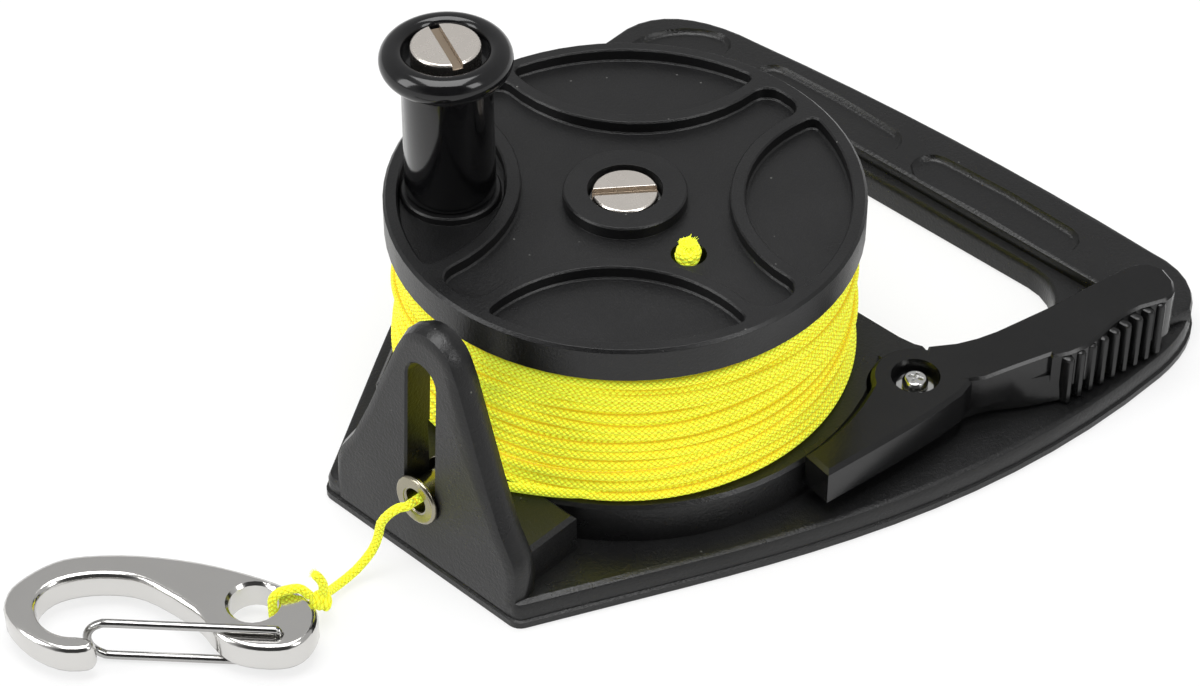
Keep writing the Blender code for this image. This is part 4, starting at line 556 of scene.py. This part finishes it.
grain_dust = grain.nodes.new("ShaderNodeMapRange")
grain_dust.inputs["From Min"].default_value = 0.045
grain_dust.inputs["From Max"].default_value = 0.025
grain_range = grain.nodes.new("ShaderNodeMapRange")
grain_range.inputs["From Min"].default_value = 0.3
grain_range.inputs["From Max"].default_value = 0.7
grain_bump = grain.nodes.new("ShaderNodeBump")
grain_bump.inputs["Distance"].default_value = 0.0002
for texture in (grain_fine, grain_wide, grain_specks):
    grain.links.new(grain_place.outputs["Object"], texture.inputs["Vector"])
grain.links.new(grain_in.outputs["Scale"], grain_fine.inputs["Scale"])
grain.links.new(grain_wide.outputs["Fac"], grain_range.inputs["Value"])
grain.links.new(grain_in.outputs["Smoothest"], grain_range.inputs["To Min"])
grain.links.new(grain_in.outputs["Roughest"], grain_range.inputs["To Max"])
grain.links.new(grain_fine.outputs["Fac"], grain_bump.inputs["Height"])
grain.links.new(grain_in.outputs["Depth"], grain_bump.inputs["Strength"])
grain.links.new(grain_specks.outputs["Distance"], grain_dust.inputs["Value"])
grain.links.new(grain_range.outputs["Result"], grain_out.inputs["Roughness"])
grain.links.new(grain_fine.outputs["Fac"], grain_out.inputs["Tone"])
grain.links.new(grain_dust.outputs["Result"], grain_out.inputs["Dust"])
grain.links.new(grain_bump.outputs["Normal"], grain_out.inputs["Normal"])


def moulded_plastic(name, shade, scale, depth, smoothest, roughest, gloss=0.42, dust=0.0):
    paint = bpy.data.materials.new(name)
    paint.use_nodes = True
    nodes = paint.node_tree.nodes
    links = paint.node_tree.links
    shader = nodes["Principled BSDF"]
    shader.inputs["Specular IOR Level"].default_value = gloss
    surface = nodes.new("ShaderNodeGroup")
    surface.node_tree = grain
    surface.inputs["Scale"].default_value = scale
    surface.inputs["Depth"].default_value = depth
    surface.inputs["Smoothest"].default_value = smoothest
    surface.inputs["Roughest"].default_value = roughest
    tone = nodes.new("ShaderNodeMix")
    tone.data_type = "RGBA"
    tone.inputs["A"].default_value = (*[c * GRAIN_DARK_SHARE for c in shade], 1.0)
    tone.inputs["B"].default_value = (*[c * GRAIN_LIGHT_SHARE for c in shade], 1.0)
    speckled = nodes.new("ShaderNodeMix")
    speckled.data_type = "RGBA"
    speckled.inputs["B"].default_value = (*DUST_COLOR, 1.0)
    amount = nodes.new("ShaderNodeMath")
    amount.operation = "MULTIPLY"
    amount.inputs[1].default_value = dust
    links.new(surface.outputs["Tone"], tone.inputs["Factor"])
    links.new(surface.outputs["Dust"], amount.inputs[0])
    links.new(amount.outputs[0], speckled.inputs["Factor"])
    links.new(tone.outputs["Result"], speckled.inputs["A"])
    links.new(speckled.outputs["Result"], shader.inputs["Base Color"])
    links.new(surface.outputs["Roughness"], shader.inputs["Roughness"])
    links.new(surface.outputs["Normal"], shader.inputs["Normal"])
    return paint


frame_paint = moulded_plastic(
    "frame_grained_black", shade=(0.008, 0.008, 0.0083), scale=1300.0, depth=0.6,
    smoothest=0.24, roughest=0.36, gloss=0.37, dust=0.5,
)
softened_copy("frame", "base", edge=0.0005, paint=frame_paint)

# The eyelet: a turned ring of nickel-plated brass with a rolled lip, which
# slides up and down in the tower's slot, and the collar behind it.
eyelet_paint = rubbed_metal(
    "eyelet_warm_nickel", dark=(0.26, 0.24, 0.18), light=(0.42, 0.39, 0.30),
    smoothest=0.14, roughest=0.28, scale=420.0,
)
softened_copy("eyelet_front", "eyelet", edge=0.00035, paint=eyelet_paint)
softened_copy("eyelet_collar", "eyelet", edge=0.00025, paint=eyelet_paint)

# The line inside the eyelet, and the stretch that runs on from its collar to
# the lowest row on the spool. Its first part follows the eyelet up and down,
# and the rest stays where it meets the spool.
GUIDE_ROUTE = (
    (-0.07748, -0.0078, 0.02009),
    (-0.07174, -0.0078, 0.01977),
    (-0.06600, -0.0078, 0.01945),
)
guide_path = rounded_route(GUIDE_ROUTE, steps=4)
guide_line = swept_tube("guide_line_braid", guide_path, LINE_RADIUS, LINE_SIDES, line_paint)
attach(guide_line, "eyelet")
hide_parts("line_in_eyelet")
FEED_ROUTE = (
    (-0.0657, -0.0078, 0.01943),
    (-0.0642, -0.0083, 0.01936),
    (-0.0629, -0.0098, 0.01934),
    (-0.0616, -0.0128, 0.01936),
    (-0.0600, -0.0172, 0.01940),
    (-0.0573, -0.0220, 0.01943),
    (-0.0532, -0.0283, 0.01950),
    (-0.0492, -0.0332, 0.01970),
    (-0.0444, -0.0373, 0.02010),
)
feed_path = rounded_route(FEED_ROUTE, steps=4)
feed_line = swept_tube("feed_line_braid", feed_path, LINE_RADIUS, LINE_SIDES, line_paint)
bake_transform(feed_line)
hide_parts("line_to_spool")

# The spindle stack under the spool: a nylon thrust washer on the deck, the
# brass insert in the post and the nylon bushing that the spool turns on.
nylon_paint = moulded_plastic(
    "bearing_natural_nylon", shade=(0.44, 0.43, 0.40), scale=900.0, depth=0.05,
    smoothest=0.4, roughest=0.5,
)
brass_paint = rubbed_metal(
    "insert_brass", dark=(0.58, 0.40, 0.16), light=(0.75, 0.55, 0.25),
    smoothest=0.25, roughest=0.4, scale=300.0,
)
for node_name in ("hub_bushing", "thrust_washer"):
    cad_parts[node_name].material_slots[0].material = nylon_paint
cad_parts["spindle_insert"].material_slots[0].material = brass_paint

# The spool: a moulded disc with a star and four lens-shaped recesses, pressed
# on a drum with a thin lower flange that the line hides. Satin black, with
# the same grain as the frame but finer.
disc_paint = moulded_plastic(
    "spool_grained_black", shade=(0.0075, 0.0075, 0.0078), scale=1500.0, depth=0.45,
    smoothest=0.27, roughest=0.38, gloss=0.38, dust=0.6,
)
softened_copy("spool_top_disc", "spool", edge=0.0003, paint=disc_paint)
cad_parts["spool_drum"].material_slots[0].material = disc_paint

# The wound line: some thirty metres of braid in level rows, with the last
# rows a little uneven and fuller low down on the guide's side. Three strands
# cross the rows at a slant, where the guide was moved quickly.
PACK_LOW = 0.01930
PACK_HIGH = 0.04990
PACK_ROWS = 14
PACK_START = math.radians(-178)
PACK_PITCH = (PACK_HIGH - PACK_LOW) / (PACK_ROWS - 1)
PACK_FOOT = 0.0180
PACK_TOP = 0.0513
PACK_REACH = 0.0518
PACK_WAIST = 0.0007
SWELL_REACH = 0.0069
SWELL_BEARING = math.radians(-140)
SWELL_FALL_UPWARD = 1.8
SWELL_FALL_ROUND = 2.6
ROW_GAP = 0.0003
ROW_UNEVENNESS = 0.00035
ROW_GIRTH_SHARE = 1.05
ROW_SIDES = 12
WANDER_ROUND = 1.3
WANDER_UPWARD = 260
# The wound rows: a painted glow, and painted shade between strands and, deeper, on the row flanks
# between rows.
wound_paint = braided_paint(
    "wound_fluorescent_braid_painted_glow_and_shade",
    lit=(0.98, 0.97, 0.014), shaded=(0.76, 0.42, 0.002), glow=0.62, flank_depth=0.95,
)


def pack_radius(height, bearing):
    share = (height - PACK_FOOT) / (PACK_TOP - PACK_FOOT)
    facing = (1 + math.cos(bearing - SWELL_BEARING)) / 2
    swell = SWELL_REACH * (1 - share) ** SWELL_FALL_UPWARD * facing ** SWELL_FALL_ROUND
    return PACK_REACH - PACK_WAIST * math.sin(math.pi * share) + swell


def pack_wander(height, bearing, seed):
    across = math.cos(bearing) * WANDER_ROUND
    along = math.sin(bearing) * WANDER_ROUND
    return noise.noise(Vector((across, along, height * WANDER_UPWARD + seed)))


def wound_rows(name, sunk, seed, slack, points_per_turn):
    # One helix up the spool, level at both flanges and wandering between them.
    path = []
    turns = PACK_ROWS - 1
    count = int(turns * points_per_turn)
    for index in range(count + 1):
        bearing = PACK_START + 2 * math.pi * index / points_per_turn
        level = PACK_LOW + (PACK_HIGH - PACK_LOW) * index / count
        ends = min(1.0, (level - PACK_LOW) / PACK_PITCH, (PACK_HIGH - level) / PACK_PITCH)
        height = level + slack * pack_wander(level, bearing, seed) * max(0.0, ends)
        reach = pack_radius(height, bearing) + ROW_GAP + LINE_RADIUS - sunk
        reach += ROW_UNEVENNESS * pack_wander(level * 2, bearing, seed + 9.0)
        path.append((reach * math.cos(bearing), reach * math.sin(bearing), height))
    girth = LINE_RADIUS * ROW_GIRTH_SHARE
    piece = swept_tube(name, path, girth, ROW_SIDES, wound_paint, outward=True)
    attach(piece, "spool")
    return piece


outer_rows = wound_rows("wound_outer_rows", sunk=0.0, seed=3.0, slack=0.0016, points_per_turn=220)
wound_rows("wound_inner_rows", sunk=0.0016, seed=47.0, slack=0.0009, points_per_turn=130)
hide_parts("line_winding", "line_core")
STRAND_STEPS = 180
STRAND_SUNK = 0.0010
STRAND_RISE = 0.0021
STRAND_RAMPS = 6


def slanting_strand(name, start_bearing, sweep, low, high):
    # It comes up from between the rows, runs over them and dives back in.
    path = []
    for step in range(STRAND_STEPS + 1):
        share = step / STRAND_STEPS
        bearing = math.radians(start_bearing + sweep * share)
        ease = share * share * (3 - 2 * share)
        height = low + (high - low) * ease
        ramp = min(1.0, share * STRAND_RAMPS, (1 - share) * STRAND_RAMPS)
        rise = math.sin(math.pi * ramp / 2)
        reach = pack_radius(height, bearing) + ROW_GAP + LINE_RADIUS - STRAND_SUNK + STRAND_RISE * rise
        path.append((reach * math.cos(bearing), reach * math.sin(bearing), height))
    strand = swept_tube(name, path, LINE_RADIUS, ROW_SIDES, wound_paint, outward=True)
    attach(strand, "spool")


slanting_strand("slanting_strand_low", start_bearing=-200.0, sweep=230.0, low=0.0232, high=0.0335)
slanting_strand("slanting_strand_high", start_bearing=-170.0, sweep=260.0, low=0.0455, high=0.0345)
slanting_strand("slanting_strand_back", start_bearing=20.0, sweep=190.0, low=0.0260, high=0.0420)

# The line's inner end: it comes up through a hole in the disc, is tied in a
# tight knot that can't slip back, and frays above it.
END_CENTER = Vector((-0.0042, -0.0236, 0.0575))
END_TURNS = 2.3
END_REACH = 0.0018
END_UNEVENNESS = 0.0002
END_HEIGHT = 0.0030
END_LEAN = 0.0006
END_STUB_FOOT = (-0.0042, -0.0238, 0.0525)
END_STUB_STEP = (0.0001, 0.0001, 0.0011)
END_STUB_POINTS = 7
end_path = []
for step in range(KNOT_STEPS + 1):
    turn = 2 * math.pi * END_TURNS * step / KNOT_STEPS
    reach = END_REACH + END_UNEVENNESS * math.sin(turn * 0.7)
    level = (step / KNOT_STEPS - 0.5) * END_HEIGHT + END_LEAN * math.sin(turn)
    end_path.append(END_CENTER + Vector((reach * math.cos(turn), reach * math.sin(turn), level)))
end_knot = swept_tube("line_end_wraps", end_path, LINE_RADIUS, KNOT_SIDES, line_paint, KNOT_ENDS)
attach(end_knot, "spool")
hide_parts("line_end_knot")
end_stub = []
for step in range(END_STUB_POINTS):
    end_stub.append(Vector([foot + rise * step for foot, rise in zip(END_STUB_FOOT, END_STUB_STEP)]))
frayed_end("line_end", end_stub, spread=0.0036, body="spool", count=110)

# The centre screw: a slotted cheese-head of nickel-plated brass that holds
# the spool, over its steel washer.
SLOT_HALF_WIDTH = 0.0012
SLOT_LIP = 0.0002
SLOT_FLOOR = 0.0016
screw_paint = rubbed_metal(
    "screw_warm_nickel", dark=(0.80, 0.745, 0.69), light=(0.85, 0.80, 0.74),
    smoothest=0.24, roughest=0.30, scale=380.0, depth=0.02,
)
steel_paint = rubbed_metal(
    "washer_bright_steel", dark=(0.50, 0.50, 0.49), light=(0.60, 0.60, 0.59),
    smoothest=0.16, roughest=0.3, scale=300.0,
)
# The slot's darker colour is painted shade in the recess; its higher roughness is the duller finish.
slot_shade_paint = rubbed_metal(
    "screw_slot_painted_shade", dark=(0.30, 0.24, 0.18), light=(0.36, 0.29, 0.22),
    smoothest=0.35, roughest=0.45, scale=380.0, depth=0.02,
)


def slotted_screw(node_name, body, axis, slot_angle):
    # The slot's faces get a darker, duller metal: the darker colour is painted shade in the slot.
    screw = softened_copy(node_name, body, edge=0.00014, paint=screw_paint)
    screw.data.materials.append(slot_shade_paint)
    top = max(v.co.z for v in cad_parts[node_name].data.vertices)
    across = Vector((-math.sin(slot_angle), math.cos(slot_angle)))
    for face in screw.data.polygons:
        away = Vector((face.center.x - axis[0], face.center.y - axis[1])).dot(across)
        if abs(away) < SLOT_HALF_WIDTH and top - SLOT_FLOOR < face.center.z < top - SLOT_LIP:
            face.material_index = 1


slotted_screw("center_screw", "base", axis=(0.0, 0.0), slot_angle=math.radians(-41))
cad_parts["center_washer"].material_slots[0].material = steel_paint

# The crank: a turned knob in high-gloss black that spins on a steel sleeve,
# held by a slotted screw in a brass insert of the disc.
grip_paint = moulded_plastic(
    "grip_high_gloss_black", shade=(0.005, 0.005, 0.0055), scale=500.0, depth=0.03,
    smoothest=0.09, roughest=0.16, gloss=0.45,
)
CRANK_AXIS = Vector((-0.026238, 0.03072, 0.0))
BORE_RADIUS = 0.0043
HEAD_BORE_RADIUS = 0.00965
HEAD_BORE_LEVEL = 0.0962
FOOT_LEVEL = 0.0597
HEAD_ROUND_REACH = 0.01175
HEAD_ROUND_LEVEL = 0.0967
HEAD_ROUND = 0.0035
HEAD_LIP_LEVEL = 0.0983
HEAD_LIP_REACH = 0.0021
HEAD_LIP_RISE = 0.0019
HEAD_STEPS = 16
SPIN_STEPS = 96
crank_outline = [
    (BORE_RADIUS, FOOT_LEVEL), (0.00985, FOOT_LEVEL), (0.0104, 0.05993), (0.01065, 0.0605),
    (0.01045, 0.0924), (0.01052, 0.0928), (0.0107, 0.0931), (0.0110, 0.0932),
]
for step in range(HEAD_STEPS + 1):
    turn = math.pi * (step / HEAD_STEPS - 0.5)
    out = HEAD_ROUND_REACH + HEAD_ROUND * math.cos(turn)
    crank_outline.append((out, HEAD_ROUND_LEVEL + HEAD_ROUND * math.sin(turn)))
for step in range(1, HEAD_STEPS // 2 + 1):
    turn = math.pi * (0.5 + step / HEAD_STEPS)
    out = HEAD_ROUND_REACH + HEAD_LIP_REACH * math.cos(turn)
    crank_outline.append((out, HEAD_LIP_LEVEL + HEAD_LIP_RISE * math.sin(turn)))
crank_outline += [
    (HEAD_BORE_RADIUS, HEAD_BORE_LEVEL), (BORE_RADIUS, HEAD_BORE_LEVEL), (BORE_RADIUS, FOOT_LEVEL),
]
bpy.ops.object.select_all(action="DESELECT")
bpy.ops.mesh.primitive_plane_add(size=0.002, location=(0.0, 0.0, 0.0))
crank_grip = bpy.context.object
crank_grip.name = "crank_grip_turned"
bpy.ops.object.mode_set(mode="EDIT")
bpy.ops.mesh.select_all(action="SELECT")
bpy.ops.mesh.merge(type="CENTER")
reach, level = crank_outline[0]
bpy.ops.transform.translate(value=(CRANK_AXIS.x + reach, CRANK_AXIS.y, level))
for next_reach, next_level in crank_outline[1:]:
    bpy.ops.mesh.extrude_region_move(
        TRANSFORM_OT_translate={"value": (next_reach - reach, 0.0, next_level - level)}
    )
    reach, level = next_reach, next_level
bpy.ops.mesh.select_all(action="SELECT")
bpy.ops.mesh.spin(steps=SPIN_STEPS, angle=2 * math.pi, center=CRANK_AXIS, axis=(0.0, 0.0, 1.0))
bpy.ops.mesh.select_all(action="SELECT")
bpy.ops.mesh.remove_doubles(threshold=0.000002)
bpy.ops.mesh.normals_make_consistent(inside=False)
bpy.ops.object.mode_set(mode="OBJECT")
bpy.ops.object.shade_smooth_by_angle(angle=math.radians(32))
crank_grip.data.materials.append(grip_paint)
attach(crank_grip, "crank")
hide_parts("crank_grip")
slotted_screw("crank_screw", "spool", axis=CRANK_AXIS, slot_angle=math.radians(65.6))
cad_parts["crank_insert"].material_slots[0].material = brass_paint
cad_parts["crank_sleeve"].material_slots[0].material = steel_paint

# The brake lever: glossy black nylon, pressed with the thumb on its ribs. It
# turns on a nylon bush round a bright cross-headed screw, over a coil spring.
lever_paint = moulded_plastic(
    "lever_gloss_black", shade=(0.006, 0.006, 0.0062), scale=1100.0, depth=0.16,
    smoothest=0.17, roughest=0.27, gloss=0.36,
)
chrome_paint = rubbed_metal(
    "screw_bright_chrome", dark=(0.62, 0.62, 0.61), light=(0.72, 0.72, 0.71),
    smoothest=0.08, roughest=0.18, scale=300.0,
)
softened_copy("brake_lever", "lever", edge=0.0004, paint=lever_paint)
softened_copy("lever_screw", "base", edge=0.00015, paint=chrome_paint)
softened_copy("lever_washer", "base", edge=0.0001, paint=chrome_paint)
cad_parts["lever_bush"].material_slots[0].material = nylon_paint
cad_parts["lever_insert"].material_slots[0].material = brass_paint
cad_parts["lever_spring"].material_slots[0].material = steel_paint

# The floor: a plain white sheet that keeps the reel's soft shadow. It is seen,
# and mirrored, partly as if it shone by itself, which burns it out to white.
FLOOR_WIDTH = 6.0
FLOOR_SHINE_SHARE = 0.74
bpy.ops.object.select_all(action="DESELECT")
bpy.ops.mesh.primitive_plane_add(size=FLOOR_WIDTH, location=(0.0, 0.0, 0.0))
floor = bpy.context.object
floor.name = "floor_sheet"
floor_paint = bpy.data.materials.new("floor_white")
floor_paint.use_nodes = True
floor_nodes = floor_paint.node_tree.nodes
floor_links = floor_paint.node_tree.links
floor_nodes.clear()
floor_out = floor_nodes.new("ShaderNodeOutputMaterial")
floor_diffuse = floor_nodes.new("ShaderNodeBsdfDiffuse")
floor_diffuse.inputs["Color"].default_value = (0.86, 0.86, 0.86, 1.0)
floor_glow = floor_nodes.new("ShaderNodeEmission")
floor_glow.inputs["Color"].default_value = (1.0, 1.0, 1.0, 1.0)
floor_glow.inputs["Strength"].default_value = 1.0
floor_path = floor_nodes.new("ShaderNodeLightPath")
floor_seen = floor_nodes.new("ShaderNodeMath")
floor_seen.operation = "MAXIMUM"
floor_share = floor_nodes.new("ShaderNodeMath")
floor_share.operation = "MULTIPLY"
floor_share.inputs[1].default_value = FLOOR_SHINE_SHARE
floor_mix = floor_nodes.new("ShaderNodeMixShader")
floor_links.new(floor_path.outputs["Is Camera Ray"], floor_seen.inputs[0])
floor_links.new(floor_path.outputs["Is Glossy Ray"], floor_seen.inputs[1])
floor_links.new(floor_seen.outputs[0], floor_share.inputs[0])
floor_links.new(floor_share.outputs[0], floor_mix.inputs["Fac"])
floor_links.new(floor_diffuse.outputs[0], floor_mix.inputs[1])
floor_links.new(floor_glow.outputs[0], floor_mix.inputs[2])
floor_links.new(floor_mix.outputs[0], floor_out.inputs["Surface"])
floor.data.materials.append(floor_paint)

# The studio round it: white to the camera, dimmer as a light, and nearly dark
# on the side where the photographer stood.
PHOTOGRAPHER_SIDE = (-0.62, -0.58, 0.53)
WORLD_FILL = 0.51
WORLD_DARK = 0.05
world = bpy.data.worlds.new("studio_world")
bpy.context.scene.world = world
world.use_nodes = True
world_nodes = world.node_tree.nodes
world_links = world.node_tree.links
world_nodes.clear()
world_out = world_nodes.new("ShaderNodeOutputWorld")
world_fill = world_nodes.new("ShaderNodeBackground")
world_fill.inputs["Color"].default_value = (1.0, 1.0, 1.0, 1.0)
world_white = world_nodes.new("ShaderNodeBackground")
world_white.inputs["Color"].default_value = (1.0, 1.0, 1.0, 1.0)
world_white.inputs["Strength"].default_value = 1.0
world_path = world_nodes.new("ShaderNodeLightPath")
world_mix = world_nodes.new("ShaderNodeMixShader")
world_way = world_nodes.new("ShaderNodeTexCoord")
world_facing = world_nodes.new("ShaderNodeVectorMath")
world_facing.operation = "DOT_PRODUCT"
world_facing.inputs[1].default_value = PHOTOGRAPHER_SIDE
world_fade = world_nodes.new("ShaderNodeMapRange")
world_fade.interpolation_type = "SMOOTHSTEP"
world_fade.inputs["From Min"].default_value = 0.60
world_fade.inputs["From Max"].default_value = 0.92
world_fade.inputs["To Min"].default_value = WORLD_FILL
world_fade.inputs["To Max"].default_value = WORLD_DARK
world_links.new(world_way.outputs["Generated"], world_facing.inputs[0])
world_links.new(world_facing.outputs["Value"], world_fade.inputs["Value"])
world_links.new(world_fade.outputs["Result"], world_fill.inputs["Strength"])
world_links.new(world_path.outputs["Is Camera Ray"], world_mix.inputs["Fac"])
world_links.new(world_fill.outputs[0], world_mix.inputs[1])
world_links.new(world_white.outputs[0], world_mix.inputs[2])
world_links.new(world_mix.outputs[0], world_out.inputs["Surface"])

# The lamps: a wide softbox overhead, and two tall strips at the sides that
# draw the long streaks on the crank grip and along the rounded edges.


def add_softbox(name, place, aim, width, height, power):
    lamp_data = bpy.data.lights.new(name, "AREA")
    lamp_data.shape = "RECTANGLE"
    lamp_data.size = width
    lamp_data.size_y = height
    lamp_data.energy = power
    lamp = bpy.data.objects.new(name, lamp_data)
    lamp.location = place
    toward = Vector(aim) - Vector(place)
    lamp.rotation_euler = toward.to_track_quat("-Z", "Y").to_euler()
    bpy.context.scene.collection.objects.link(lamp)


add_softbox(
    "softbox_overhead", place=(-0.05, 0.05, 1.05), aim=(0.0, 0.0, 0.03), width=0.8, height=0.7, power=9.5
)
add_softbox(
    "softbox_left", place=(-0.85, 0.45, 0.55), aim=(0.0, 0.0, 0.05), width=0.35, height=0.8, power=4.5
)
add_softbox(
    "softbox_right", place=(0.1, -1.0, 0.85), aim=(0.0, 0.0, 0.04), width=0.35, height=0.6, power=3.5
)
